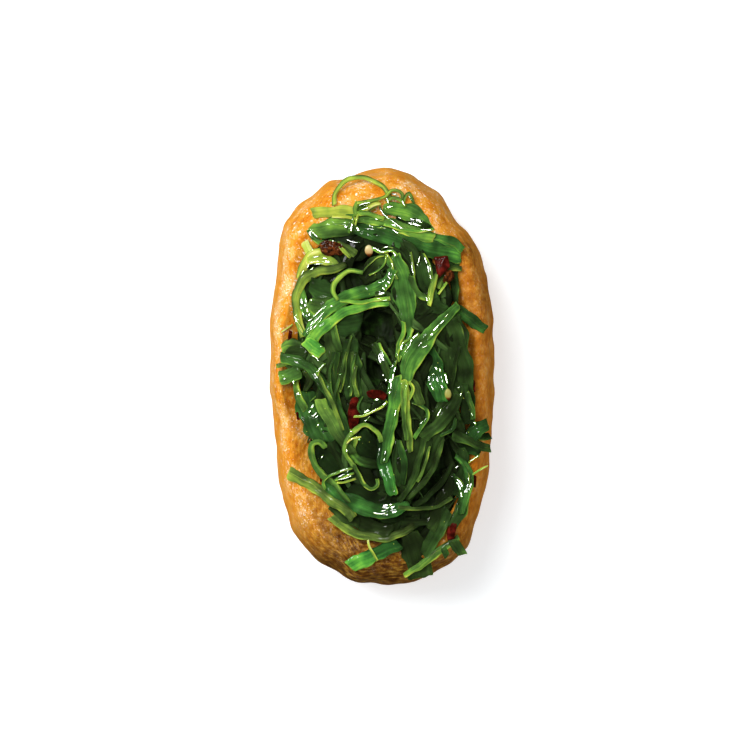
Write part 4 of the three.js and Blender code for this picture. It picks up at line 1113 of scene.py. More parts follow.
def new_scraps():
    """An empty store that scraps are added to."""
    return {"points": [], "faces": [], "low_end": [], "count": 0}


def finish_scraps(name, store, material):
    """Makes one piece of the scraps in store."""
    piece = make_piece(
        name, np.vstack(store["points"]), store["faces"], low_end=np.concatenate(store["low_end"])
    )
    piece.data.materials.append(material)
    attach(piece, "root")
    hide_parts("seaweed_salad")


# Chilli skin: deep red in blotches, thin enough to let a little red light through, and wrinkled
# with a wet gloss.
BLOTCH, WRINKLE = 1.2, 0.5
chilli, tree = new_material("dried_chilli")
where = add(tree, "ShaderNodeTexCoord").outputs["Object"]
blotches = add(
    tree, "ShaderNodeTexNoise", {"Scale": 1 / (BLOTCH * MM), "Detail": 4, "Roughness": 0.6},
    {"Vector": where},
)
red = add(tree, "ShaderNodeValToRGB", links={"Fac": blotches})
set_ramp(red, [(0.35, "#240704"), (0.5, "#3e0f09"), (0.65, "#601a12")])
skin_grain = add(
    tree, "ShaderNodeTexNoise", {"Scale": 1 / (WRINKLE * MM), "Detail": 3, "Roughness": 0.6},
    {"Vector": where},
)
chilli_bump = add(tree, "ShaderNodeBump", {"Strength": 0.5, "Distance": 0.15 * MM}, {"Height": skin_grain})
chilli_shader = add(
    tree, "ShaderNodeBsdfPrincipled",
    {"IOR": 1.42, "Specular IOR Level": 0.04, "Roughness": 0.08, "Subsurface Weight": 0.1,
     "Subsurface Radius": (1.0, 0.15, 0.1), "Subsurface Scale": 0.5 * MM},
    {"Base Color": red, "Normal": chilli_bump},
)
add(tree, "ShaderNodeOutputMaterial", links={"Surface": chilli_shader})

# Each flake: its outline, thickness, and lean across and along, in degrees.
CHILLI_FLAKES = [
    ([(-3.2, -3.1), (-2.0, -2.7), (-0.2, -2.8), (1.1, -3.7), (0.6, -4.8), (-1.4, -4.6), (-2.8, -4.2)],
     0.5, (-3, 8)),
    ([(-6.2, -4.4), (-4.8, -4.0), (-4.4, -7.6), (-5.0, -10.6), (-6.4, -10.8), (-6.9, -7.5)], 0.5, (-12, 4)),
    ([(13.9, -29.3), (15.0, -29.5), (14.4, -32.5), (13.0, -32.9), (12.9, -31)], 0.5, (10, 6)),
    ([(17.9, -0.8), (18.5, -0.9), (18.6, -3.2), (18.1, -3.4)], 0.4, (20, 0)),
    ([(-18.6, 9.2), (-17.9, 8.9), (-18.2, 6.9), (-18.9, 7.0)], 0.4, (-15, 0)),
    ([(-17.2, -7.2), (-16.7, -7.2), (-16.4, -8.8), (-17.0, -8.7)], 0.4, (-15, 0)),
    ([(-12.5, -19.9), (-11.5, -19.8), (-11.3, -21.0), (-12.4, -21.2)], 0.4, (0, 0)),
    ([(18.0, -19.6), (18.9, -20), (18.7, -22.4), (17.9, -22)], 0.4, (18, 0)),
]
flakes = new_scraps()
for outline, thick, lean in CHILLI_FLAKES:
    lay_scrap(flakes, outline, thick, 0.08, lean)


# ---- Upper wakame strands ----
# The strips and threads that lie on top, cut from blanched leaves and stems, with a lime edge
# where the light comes out. Some still curl, and a few loop over each other.

TOP_STRANDS = [
    ("arc 1", (1, 1.4, 1.4, 1), 0.5, (4, -4), 0.1, (0.26, 0.2), [
        (8.4, -12), (7.4, -16.3), (6, -20.9), (3.4, -25.1)], {"olive": 0.5, "wet": 0.08, "rim": 0.3}),
    ("arc 2", (0.8, 1.2, 1.2, 0.8), 0.5, (-4, 4), 0.1, (0.24, 0.2), [
        (12.2, -12.4), (10.8, -16.7), (9, -20.3), (5.2, -24.3)], {"olive": 0.6, "wet": 0.08, "rim": 0.3}),
    ("arc 3", (1, 1.4, 1.2), 0.5, (4, -4), 0.1, (0.26, 0.22), [
        (14, -17.1), (12.2, -20.7), (9.8, -23.3), (6, -26.3)], {"olive": 0.5, "wet": 0.08, "rim": 0.3}),
    ("arc 4", (0.4, 0.7, 0.6), 0.5, (0, 0), 0.1, (0.42, 0.34), [
        (9.6, -14), (8.4, -17.9), (7, -21.1)], {"olive": 0.7, "wet": 0.08}),
    ("left small tip", 1, 0.5, (0, 0), 0, (0.5, 0.45), [(-21.1, 2), (-18.9, 2.6)], {}),
    ("pale chip", (1.6, 2, 1.8), 0.5, (4, 0), 0, (0.88, 0.8), [(-15.5, 26.9), (-13.8, 23.3)], {}),
    ("right blunt leaf", (2.4, 3, 3), 0.6, (6, -10), 0.2, (0.2, 0.3), [
        (17.1, -12.8), (18.5, -11), (21.1, -9.6)], {"slant": 10, "olive": 0.1}),
    ("right leaning", (2, 2.8, 2.8, 2.6), 0.5, (-3, 5), 0.1, (0.16, 0.34), [
        (15.1, -3.6), (13.6, -6.8), (11.2, -9.6),
        (7.8, -12.2)], {"slant": -12, "olive": 0.5, "wet": 0.02}),
    ("right reach", (2.2, 2, 1.6), 0.5, (-4, 6), 0.1, (0.22, 0.28), [
        (14, -11.4), (19.1, -13.8), (21.7, -14.5)], {"olive": 0.5}),
    ("right thin", 1.2, 0.6, (12, -8), 0, (0.3, 0.34), [
        (16.7, -3.2), (17.7, -5.8), (18.1, -8.6)], {"wet": 0.6, "rim": 0.6}),
    ("round leaf", (4, 5.2, 4.4), 0.5, (5, -5), 0.1, (0.2, 0.24), [
        (-4.8, -11.2), (-3.2, -14), (-0.8, -16.3)], {"olive": 0.3}),
    ("round leaf rim", (1.6, 2, 1.8), 0.6, (-10, 4), 0.2, (0.62, 0.3), [
        (-5.6, -12), (-6, -14.5), (-4.8, -16.5), (-2.4, -17.5),
        (0.4, -17.9)], {"rim": 0.4, "olive": 0.4}),
    ("left hatch leaf", (1, 1.6, 1.4), 0.6, (0, 0), 0.2, (0.5, 0.4), [
        (-17.1, 0), (-17.1, -2.4), (-16.3, -4.8), (-15.3, -6.8)], {"rim": 1, "olive": 0.5}),
    ("dark chip", (1.2, 1.6, 1), 0.5, (0, 0), 0.1, (0.2, 0.22), [
        (-15.5, 1.2), (-14.5, -0.8), (-15.3, -3)], {}),
    ("long left", (2.2, 2, 2, 1.8), 0.6, (3, -6), 0.2, (0.36, 0.26), [
        (-20.3, 3.8), (-14.5, 1.8), (-12.6, -0.6), (-9, -6.6), (-6.2, -13.2)], {"olive": 0.3}),
    ("broad strip", (2.6, 2.8, 2.6, 2), 0.6, (4, -4), 0.2, (0.56, 0.26), [
        (-12.4, -4.6), (-9, -10.8), (-6, -15.5)], {"olive": 0.6, "wet": 0.12}),
    ("left blunt leaf", (2.6, 3, 2.8), 0.6, (-4, 5), 0, (0.5, 0.36), [
        (-20.5, -0.4), (-18.7, 0), (-16.3, 1)], {"olive": 0.4, "slant": 0}),
    ("left tube", (1.6, 1.8, 1.8), 0.8, (8, 4), 0, (0.84, 0.76), [
        (-10.4, 24.3), (-12.8, 24.7), (-14.5, 23.9), (-15.7, 21.9),
        (-16.5, 19.3)], {"wet": 0.5, "rim": 0.8, "fold": 20, "edge": (-0.25, 0),
        "olive": 0.9, "frill": 0.22}),
    ("left chips", (1.6, 2.2, 1.6), 0.7, (8, -8), 0.2, (0.8, 0.56), [
        (-15.1, 22.7), (-13.2, 23.3), (-10.8, 22.9),
        (-8.8, 21.5)], {"wet": 1, "rim": 0.9, "fold": 24, "glint": (0.3, 0.6), "olive": 0.8}),
    ("left bow inner", (1.2, 1.8, 1.6), 0.7, (-12, -4), 0.2, (0.42, 0.4), [
        (-16.1, 17.9), (-15.9, 15.1), (-14.9, 12.8), (-13, 10.6)], {"wet": 1, "glint": (0.45, 0.6, 0.75),
        "olive": 0.3}),
    ("left bow", (1.4, 2, 2, 1.8, 1.6), 0.7, (8, -4), 0.3, (0.4, 0.66), [
        (-7.2, 22.3), (-9.8, 21.3), (-13.2, 20.7), (-15.5, 19.5), (-16.7, 17.1), (-17.1, 14.3),
        (-16.7, 11.4), (-15.5, 7.8)], {"glint": (0.8, 0.93),
        "fold": 14, "rim": 0.6, "edge": (-0.25, 0.06), "olive": 0.85}),
    ("top cross wide", (2, 3.4, 4.2, 4, 3.2), 0.5, (-4, 6), 0.1, (0.34, 0.4), [
        (-6, 29.5), (-2, 28.7), (6, 26.3), (15.7, 24.1)], {"olive": 0.15}),
    ("top cross tip", (1.8, 2.2, 1.8), 0.5, (4, -4), 0, (0.4, 0.42), [
        (9.6, 27.5), (12.6, 27.1), (14.7, 26.3), (16.1, 25.1)], {"olive": 0.2}),
    ("fold leaf", (2.4, 3.2, 3.6, 4, 4.4, 4.2, 3.4, 1.2), 0.6, (-4, 8), 0.2, (0.46, 0.62), [
        (-5.2, 29.5), (-8.4, 29.7), (-14.7, 28.9)], {"fold": 16, "olive": 0.5, "edge": (-0.08, -0.16),
        "slant": 0}),
    ("fold leaf edge", 1.2, 0.7, (18, 12), 0.1, (0.44, 0.4), [
        (-14.5, 29.3), (-13.8, 27.7), (-12, 26.5), (-9, 26.5)], {"wet": 1, "glint": (0.2, 0.8)}),
    ("crown leaf", (1.6, 3.4, 3.8, 3.4, 1.8), 0.5, (4, -5), 0.2, (0.58, 0.46), [
        (0.2, 33.3), (2.8, 33.3), (5.6, 32.5), (7.8, 30.9),
        (9.8, 28.9)], {"rim": 0.4, "fold": 6, "olive": 0.35}),
    ("crown inner", (1.6, 2, 1.6), 0.6, (-10, 10), 0.2, (0.2, 0.24), [
        (2.8, 31.5), (7.6, 30.3), (9.6, 29.3)], {"wet": 1, "glint": (0.45, 0.7), "rim": 0.4}),
    ("top cross", (1.6, 2.2, 2.6, 2.2), 0.6, (8, -6), 0.3, (0.46, 0.52), [
        (-7.6, 31.7), (0, 30.7), (7.2, 28.3), (10.4, 27.5)], {"rim": 1, "glint": (0.5, 0.62),
        "fold": 14, "olive": 0.45}),
    ("top cross rib", 0.6, 0.5, (10, 0), 0.3, (0.6, 0.66), [
        (0.4, 30.3), (4, 29.1), (7.6, 28.9), (10.2, 29.3)], {"wet": 0.6, "rim": 1}),
    ("crown hook", 0.5, 0.6, (-14, 6), 0.3, (0.34, 0.46), [
        (-0.4, 33.9), (0.2, 32.5), (1.6, 31.1), (3.2, 30.1)], {"wet": 2, "glint": (0.25, 0.55, 0.8)}),
    ("pale strip under", (2, 2.3, 2.3, 2), 0.6, (4, -4), 0, (0.7, 0.74), [
        (-14, 32.5), (-8.4, 32.9), (-5.2, 32.7)], {"rim": 0.2, "fold": 4, "olive": 1, "edge": (-0.1, 0),
        "wet": 0.05}),
    ("pale strip", 0.6, 0.6, (5, -4), 0.1, (0.74, 0.78), [
        (-10, 31.7), (-7.4, 31.8), (-4.8, 31.3)], {"rim": 0.8, "olive": 1, "wet": 0.1}),
    ("split end", (1.2, 1.6, 1.8), 0.6, (-8, 8), 0.2, (0.5, 0.64), [
        (-8.8, 26.5), (-7, 25.5), (-5.2, 24.1)], {"rim": 0.7, "olive": 0.8}),
    ("split end 2", (0.6, 0.8, 0.8), 0.6, (6, 8), 0.2, (0.5, 0.7), [
        (-8.8, 26.1), (-6.2, 23.7)], {"rim": 0.7, "olive": 0.8}),
    ("pale fold fill", (1.2, 2, 1.8, 1), 0.4, (0, 0), 0.1, (0.5, 0.58), [
        (-5, 33.1), (-3.8, 33.7), (-2.2, 33.9),
        (-0.8, 34.7)], {"rim": 0.8, "olive": 0.5, "wet": 0.1, "fold": 12}),
    ("pale fold", 1.1, 0.8, (10, -8), 0.1, (0.62, 0.6), [
        (-5.2, 31.9), (-5.4, 33.3), (-4.8, 34.5)], {"rim": 0.4, "edge": (-0.15, -0.1), "olive": 0.6}),
    ("pale fold 2", 1, 0.7, (8, -8), 0.1, (0.86, 0.8), [
        (-4, 32.5), (-2.8, 33.7), (-0.4, 34.5)], {"rim": 0.9, "olive": 0.9}),
    ("pale fold 3", 1, 0.7, (8, -8), 0.1, (0.6, 0.66), [
        (-4.8, 32.3), (-3.2, 32.4), (-1.6, 32.1), (0.4, 31.3)], {"rim": 0.6, "olive": 0.5}),
    ("white bar", 0.5, 0.6, (0, 0), 0.4, (0.5, 0.5), [
        (-5.6, 32.1), (-6.6, 28.5)], {"wet": 2, "glint": (0.2, 0.5, 0.8)}),
    ("white bar 2", 0.4, 0.6, (0, 0), 0.4, (0.7, 0.7), [
        (-4.8, 32.3), (-5.4, 30.1)], {"wet": 1.5, "glint": (0.5,), "olive": 0.8}),
    ("hanging tail", (0.8, 1, 1.2), 0.7, (-8, 10), 0.3, (0.5, 0.56), [
        (4.2, 10.8), (4.2, 8.4), (3.4, 6.2), (3, 3.6)], {"rim": 1, "wet": 0.8, "glint": (0.85,)}),
    ("hanging tail 2", (1.2, 1, 0.8), 0.7, (8, -8), 0.3, (0.4, 0.5), [
        (5.8, 9.6), (5.2, 7.2), (3.2, 3.2)], {"rim": 0.8, "wet": 0.8, "glint": (0.8,)}),
    ("hanging hook", 0.8, 0.7, (0, 0), 0.3, (0.46, 0.5), [
        (7.4, 8.4), (5.8, 6.8), (3.8, 4)], {"wet": 1, "glint": (0.4, 0.7)}),
    ("inner curl", 0.6, 0.7, (0, 0), 0.3, (0.4, 0.5), [
        (0.8, 24.3), (1.8, 22.7), (2.2, 20.7),
        (3, 19.3)], {"wet": 1.4, "rim": 1, "glint": (0.15, 0.4, 0.65, 0.9)}),
    ("inner curl 2", 0.6, 0.6, (0, 0), 0.3, (0.5, 0.56), [
        (-2.2, 25.7), (-0.4, 24.7), (1.8, 24.9),
        (3, 23.9)], {"wet": 1.6, "rim": 0.8, "glint": (0.2, 0.8)}),
    ("inner curl 3", 0.4, 0.4, (0, 0), 0.2, (0.5, 0.46), [
        (0.8, 23.9), (0.4, 22.5), (-1, 20.9), (-2.6, 20.1)], {"rim": 0.9}),
    ("inner curl 4", 0.3, 0.4, (0, 0), 0.2, (0.5, 0.4), [
        (0.4, 23.9), (-1.2, 23.5), (-2.8, 22.1), (-4, 20.5)], {"rim": 0.8}),
    ("upper right drop", 0.5, 0.7, (0, 0), 0.3, (0.48, 0.46), [
        (5.8, 24.7), (6.4, 19.7)], {"wet": 1.7, "glint": (0.4, 0.7, 0.9)}),
    ("upper right bow", 1.3, 0.6, (6, -6), 0.1, (0.34, 0.3), [
        (5.8, 19.9), (6.6, 17.5), (8.2, 15.7), (10, 15.1)], {"olive": 0.5}),
    ("upper right strip", 0.6, 0.7, (10, -6), 0.3, (0.44, 0.5), [
        (8.2, 24.5), (9.2, 22.5), (10.2, 18.5)], {"wet": 1.4, "glint": (0.1, 0.35, 0.6, 0.85),
        "rim": 0.6}),
    ("upper right hook", (1, 1.4, 1.2), 0.6, (-4, 6), 0.1, (0.36, 0.4), [
        (15.9, 21.5), (14, 21.5), (12.2, 20.1), (11, 17.5)], {"olive": 0.7}),
    ("upper right sliver", 0.5, 0.5, (0, 0), 0.1, (0.66, 0.7), [(12.8, 18.7), (11.2, 16.3)], {"rim": 0.8}),
    ("folded tip", (0.8, 1.2, 1.2, 0.9), 0.8, (8, -8), 0.3, (0.42, 0.6), [
        (10.8, 20.3), (10, 17.9), (9.4, 14)], {"rim": 1, "wet": 0.8, "glint": (0.9,),
        "fold": 22, "olive": 0.7}),
    ("long low bow", (1.8, 2.8, 3.4, 3.2, 1.6), 0.6, (4, -6), 0.2, (0.36, 0.3), [
        (-11.6, -21.1), (-8.8, -23.5), (-5.6, -25.3), (-2.2, -26.5), (1.6, -26.9),
        (5.4, -25.5)], {"glint": (0.74, 0.8), "rim": 0.3, "olive": 0.1, "wet": 0.08}),
    ("long low thread", 0.8, 0.5, (0, 0), 0.1, (0.34, 0.34), [
        (3.2, -26.1), (7.6, -26.5), (11.2, -25.9), (14, -24.3)], {}),
    ("long low strip", (2.4, 2.4, 2.4, 2.2), 0.6, (2, -3), 0.1, (0.54, 0.36), [
        (-18.7, -19.3), (-15.7, -20.9), (-9.8, -24.7), (-7.2, -26.7),
        (-5.6, -28.3)], {"slant": -4, "olive": 0.85, "wet": 0.1}),
    ("bottom bow", (1.8, 1.8, 1.8, 1.4), 0.6, (8, -6), 0.1, (0.54, 0.26), [
        (-10.2, -28.1), (-7.4, -30.3), (-4.8, -31.5), (-2, -32.1), (1.2, -32.1), (4, -31.3),
        (6.4, -29.7)], {"fold": 12, "wet": 0.15, "edge": (0, -0.1), "olive": 0.85}),
    ("bright end strip", (2.8, 3.2, 2.8, 2.4), 0.6, (-4, 5), 0.1, (0.66, 0.28), [
        (-6.4, -38.1), (-0.8, -35.3),
        (3.4, -33.5)], {"rim": 0.2, "olive": 0, "wet": 0.06, "fold": 2, "cup": 0, "pleat": 0}),
    ("end diagonal", (1, 1.6, 1.6, 1.2), 0.6, (6, -4), 0.1, (0.54, 0.36), [
        (4.4, -39.9), (7.2, -38.1), (15.3, -32.1)], {"rim": 0.8, "fold": 14, "olive": 0.5}),
    ("corner tuft", (1.8, 2.2, 1.8), 0.6, (4, 0), 0, (0.26, 0.3), [
        (14, -32.7), (16.1, -35.7)], {"olive": 0.5}),
    ("corner tuft 2", 1.4, 0.6, (-4, 0), 0, (0.3, 0.3), [(12, -34.3), (13, -36.1)], {}),
    ("right column inner", (1, 1.6, 1.4, 1), 0.7, (-8, 4), 0.2, (0.3, 0.28), [
        (14, -19.5), (15.3, -21.1), (15.9, -23.3), (15.5, -25.9)], {"wet": 1, "glint": (0.3, 0.6)}),
    ("right column", (1.2, 1.8, 2, 1.6), 0.7, (-8, 8), 0.2, (0.36, 0.34), [
        (14.7, -15.9), (16.7, -17.9), (17.3, -20.7),
        (15.7, -27.5)], {"wet": 0.9, "fold": 16, "glint": (0.3, 0.55), "rim": 0.6, "edge": (-0.1, -0.1),
        "olive": 0.2}),
    ("thin hook", (0.7, 0.7, 0.9, 0.8), 0.6, (0, 0), 0.2, (0.34, 0.5), [
        (5.8, -5.2), (7.6, -5.9), (9, -6.8), (9, -8.4), (7.6, -10.2),
        (6.4, -12.4)], {"rim": 0.5, "olive": 0.3}),
    ("centre jag", (1.6, 2, 1.6), 0.6, (12, -10), 0.1, (0.36, 0.36), [
        (5.4, -0.6), (6.8, -2.2), (7, -4.2), (7.8, -5.8)], {"rim": 0.5}),
    ("centre jag 2", 0.7, 0.6, (0, 0), 0.2, (0.6, 0.6), [
        (5.2, -1.2), (6.2, -2.4), (5.8, -3.8), (4.6, -5.6)], {"wet": 0.8, "rim": 1}),
    ("fine 1", (0.5, 0.7, 0.6), 0.5, (0, 0), 0.1, (0.3, 0.42), [
        (-6, 8), (-7, 4.8), (-7.4, 0.8), (-8.4, -3.2)], {"olive": 0.6}),
    ("fine 2", (0.5, 0.7, 0.6), 0.5, (0, 0), 0.1, (0.26, 0.36), [
        (-5.2, 4.8), (-6, 1.6), (-6, -1.6), (-6.4, -4)], {}),
    ("fine 3", (0.5, 0.8, 0.7), 0.5, (0, 0), 0.1, (0.36, 0.44), [
        (-5, 2), (-5.6, -0.8), (-5.4, -2.4), (-4.8, -4)], {"rim": 0.5, "olive": 0.7}),
    ("fine 4", (0.4, 0.6, 0.5), 0.5, (0, 0), 0.1, (0.22, 0.36), [
        (-9.2, 4.8), (-10.2, 1.6), (-10.4, -1.6), (-9.6, -4.4)], {}),
    ("fine 5", (0.5, 0.7, 0.5), 0.5, (0, 0), 0.1, (0.34, 0.26), [(-8, 2), (-9.4, -5.2), (-9, -7.2)], {}),
    ("fine 6", (0.5, 0.9, 0.9, 0.6), 0.5, (0, 0), 0.1, (0.5, 0.4), [
        (-12.8, 0.8), (-8.8, -8), (-7.8, -10.8)], {"rim": 0.4, "olive": 0.8}),
    ("fine 7", (0.4, 0.6, 0.4), 0.5, (0, 0), 0.1, (0.3, 0.24), [(-7.2, 4.8), (-8, 0.8), (-8.2, -2.8)], {}),
    ("fine 8", (0.4, 0.5, 0.4), 0.5, (0, 0), 0.1, (0.3, 0.24), [(-4, -4), (-4.8, -6.4), (-4, -7.6)], {}),
    ("centre slope", (1.6, 1.8, 1.6), 0.6, (-10, 8), 0.2, (0.3, 0.34), [
        (-1.6, 6.6), (2.4, -2)], {"glint": (0.35,), "wet": 0.6, "olive": 0.5}),
    ("centre slope line", 0.5, 0.5, (0, 0), 0.3, (0.66, 0.66), [(-0.6, 6.6), (1.8, 2)], {}),
    ("centre tail", (2.2, 2.6, 2.8, 2.6, 1.8), 0.8, (-4, 4), 0.2, (0.42, 0.48), [
        (0, -12.4), (0.4, -16.7), (1.2, -20.3), (2.4, -23.7)], {"slant": 8, "olive": 0}),
    ("left bright under", (2, 2.8, 2.6, 2.4), 0.6, (-14, -8), 0.3, (0.46, 0.5), [
        (2.2, 21.1), (0.6, 18.5), (-2.4, 16.9), (-6, 16.1), (-9.2, 14.5), (-12.2, 11.8),
        (-15.1, 7.8)], {"glint": (0.06, 0.72, 0.84, 0.93), "wet": 0.7, "olive": 0.2}),
    ("left bright", (1, 1.8, 2.2, 2.6), 0.6, (6, 4), 0.3, (0.56, 0.64), [
        (1.4, 14.5), (-5, 13.6), (-7.8, 12.4), (-10.6, 10.6), (-13, 8.4),
        (-14.7, 6)], {"rim": 0.7, "olive": 0.15, "wet": 0.12}),
    ("left bright rib", (0.6, 0.9, 0.8), 0.5, (0, 0), 0.4, (0.5, 0.66), [
        (-8.4, 14.9), (-4.8, 14.7), (1.6, 15.5)], {"rim": 1, "glint": (0.8,)}),
    ("left bright chip", (1, 1.2, 1), 0.6, (-10, 0), 0.3, (0.3, 0.3), [
        (-1.4, 16.3), (0.6, 16.7)], {"glint": (0.5,), "wet": 0.3}),
    ("left bright end", (2.6, 2.8, 2.6), 0.7, (5, -8), 0.1, (0.58, 0.66), [
        (-15.3, 7), (-11.8, 4.4)], {"rim": 1, "slant": 10, "wet": 0.5, "olive": 0}),
    ("right bright tail", (2.4, 2.4, 2.3), 0.5, (0, 2), 0, (0.3, 0.34), [
        (14.3, 13.6), (20.7, 9.2)], {"slant": 0, "rim": 0, "wet": 0, "olive": 0.2}),
    ("right bright", (1.8, 2, 2.8, 4.2, 4, 2), 0.6, (-8, 4), 0.5, (0.38, 0.5), [
        (15.1, 14.2), (8.8, 7.4), (6.6, 4.4), (5.2, 1.6),
        (4.8, -1)], {"rim": 1, "wet": 0.15, "olive": 0.3}),
    ("right bright rim", 0.5, 0.6, (-14, 0), 0.6, (0.5, 0.5), [
        (5.8, 7.6), (4, 6.2), (3.1, 4.8), (3.2, 2.8)], {"wet": 1.8, "glint": (0.5, 0.75), "rim": 0.6}),
    ("centre right", (1.6, 2, 1.8, 1.4, 1), 0.7, (8, -6), 0.3, (0.56, 0.4), [
        (4.2, -0.8), (4.8, -7.6), (5.8, -15.1)], {"rim": 1, "wet": 0.5, "fold": 16, "olive": 0.7}),
    ("centre right rib", (0.8, 1, 0.8), 0.6, (6, -6), 0.3, (0.5, 0.36), [
        (5, -1.4), (4.4, -4.8), (4.4, -8.4), (4.8, -12.8)], {"rim": 0.8}),
    ("centre left edge", (0.6, 0.8, 0.6), 0.7, (-8, -8), 0.5, (0.4, 0.4), [
        (2.8, 3.2), (1.8, 0), (1.2, -3.6)], {"wet": 1.3, "glint": (0.15, 0.4, 0.6, 0.85)}),
    ("centre left", (2, 2.6, 2.6, 2.4, 1.4), 0.7, (5, 4), 0.4, (0.4, 0.52), [
        (3, 0), (2.6, -4), (0.4, -17.3)], {"rim": 1, "fold": 10, "olive": 0.2, "wet": 0.1}),
    ("pouch arc", 1, 0.7, (0, 0), 0.5, (0.68, 0.62), [
        (-9.6, 34.1), (-9.6, 35.9), (-8.8, 37.5), (-7.4, 38.9), (-5.6, 39.7), (-3.6, 39.7), (-1.8, 39.1),
        (0, 37.9), (1.2, 36.3), (1.6, 35.1)], {"fold": 22, "edge": (0, -0.3), "rim": 0.1, "olive": 0.85}),
    ("crown curl", 0.7, 0.7, (0, 0), 0.4, (0.62, 0.56), [
        (-5, 34.5), (-0.6, 35.4), (0.8, 35.9), (1.8, 36.9), (3, 37.1), (4, 36.5),
        (4.2, 34.9)], {"fold": 20, "edge": (0, -0.25), "rim": 0.1, "olive": 0.7}),
    ("crown curl 2", 0.6, 0.6, (0, 0), 0.3, (0.5, 0.56), [
        (4.2, 34.7), (5.4, 36.6), (6.4, 34.5)], {"edge": (0, -0.25), "rim": 0.1, "olive": 0.6}),
    ("crown curl 3", 0.7, 0.6, (0, 0), 0.3, (0.6, 0.6), [
        (0.8, 34.9), (2.2, 35.5), (3.6, 35.1), (4.8, 33.9)], {"wet": 0.7, "edge": (0, -0.25),
        "rim": 0.1, "olive": 0.6}),
    ("upper left curl", 1, 0.7, (0, 0), 0.4, (0.62, 0.72), [
        (-3.8, 20.7), (-6.2, 20.9), (-8.2, 19.9), (-9.6, 18.3), (-9.8, 16.7),
        (-8.8, 15.1)], {"fold": 18, "edge": (-0.1, -0.2), "rim": 0.1, "olive": 0.5}),
    ("left loop", (1, 1.4, 1.4, 1.2, 1), 0.7, (0, 10), 0.3, (0.56, 0.36), [
        (-11.2, -14.3), (-12.4, -13.2), (-13.8, -13.6), (-14.2, -15.5), (-13.4, -17.7), (-11.8, -19.7),
        (-10, -21.1), (-8.2, -23.1), (-6.6, -25.3)], {"edge": (-0.15, 0.1), "rim": 0.1, "olive": 0.5}),
    ("centre loop", 1, 0.7, (0, 0), 0.4, (0.7, 0.5), [
        (-0.2, -13.2), (-0.8, -11.4), (-2, -10.2), (-3.6, -9.8), (-5.2, -10.6), (-6.6, -12), (-7.4, -14),
        (-7, -16.3), (-5.4, -18.1)], {"fold": 18, "edge": (-0.25, 0.05), "rim": 0.1, "olive": 0.6}),
    ("centre loop inner", 0.4, 0.6, (0, 0), 0.5, (0.8, 0.8), [
        (-7.4, -13.8), (-6, -12.5), (-4.2, -12)], {"wet": 1.2, "rim": 1, "glint": (0.3, 0.7),
        "olive": 0.8}),
    ("centre thread", 0.5, 0.6, (0, 0), 0.5, (0.6, 0.7), [
        (-5.8, -8), (-4, -8), (-2, -7.2), (-0.2, -6.2),
        (1, -5)], {"wet": 1.5, "rim": 1, "glint": (0.2, 0.5, 0.8), "olive": 0.6}),
    ("lower curl", 0.8, 0.6, (0, 0), 0.3, (0.36, 0.5), [
        (-5.6, -17.5), (-4.8, -19.5), (-3.6, -21.5), (-2.2, -22.5), (-1, -21.7),
        (-1, -20.5)], {"rim": 0.9}),
    ("lower hook", 0.6, 0.6, (0, 0), 0.3, (0.5, 0.46), [
        (-11.2, -22.5), (-11.8, -21.1), (-10.6, -19.9),
        (-6, -18.3)], {"wet": 1.6, "rim": 0.6, "glint": (0.55, 0.75, 0.92)}),
    ("lower hook 2", 0.5, 0.6, (0, 0), 0.3, (0.56, 0.56), [
        (-9.6, -20.7), (-7.6, -20.2), (-5.6, -19.3)], {"wet": 2, "rim": 0.6, "glint": (0.3, 0.7)}),
    ("lower hook 3", 0.4, 0.6, (0, 0), 0.2, (0.7, 0.66), [
        (-9, -21.1), (-7.2, -21.1), (-5.2, -20.5)], {"rim": 1, "olive": 0.8}),
    ("left lime sliver", 0.5, 0.6, (0, 0), 0.2, (0.7, 0.7), [
        (-13, 0), (-12.6, 1), (-11.4, 2.4)], {"rim": 0.8}),
    ("end thread", 0.5, 0.6, (0, 0), 0.3, (0.86, 0.6), [
        (-2.8, -32.7), (-2.4, -34.1), (-1, -36.9)], {"rim": 1, "olive": 0.8}),
    ("right rim thread", 0.4, 0.4, (0, 0), 0.1, (0.8, 0.84), [
        (17.7, -19.9), (19.1, -18.9), (21.1, -17.9)], {}),
    ("right rim thread 2", 0.4, 0.4, (0, 0), 0.1, (0.6, 0.6), [(17.1, -17.3), (19.5, -15.9)], {"wet": 1}),
    ("left rim thread", 0.3, 0.4, (0, 0), 0.1, (0.8, 0.8), [(-20.3, 8.6), (-17.9, 10.4)], {}),
]
top_strands = new_strands()
lay_all(top_strands, TOP_STRANDS, 0.3)
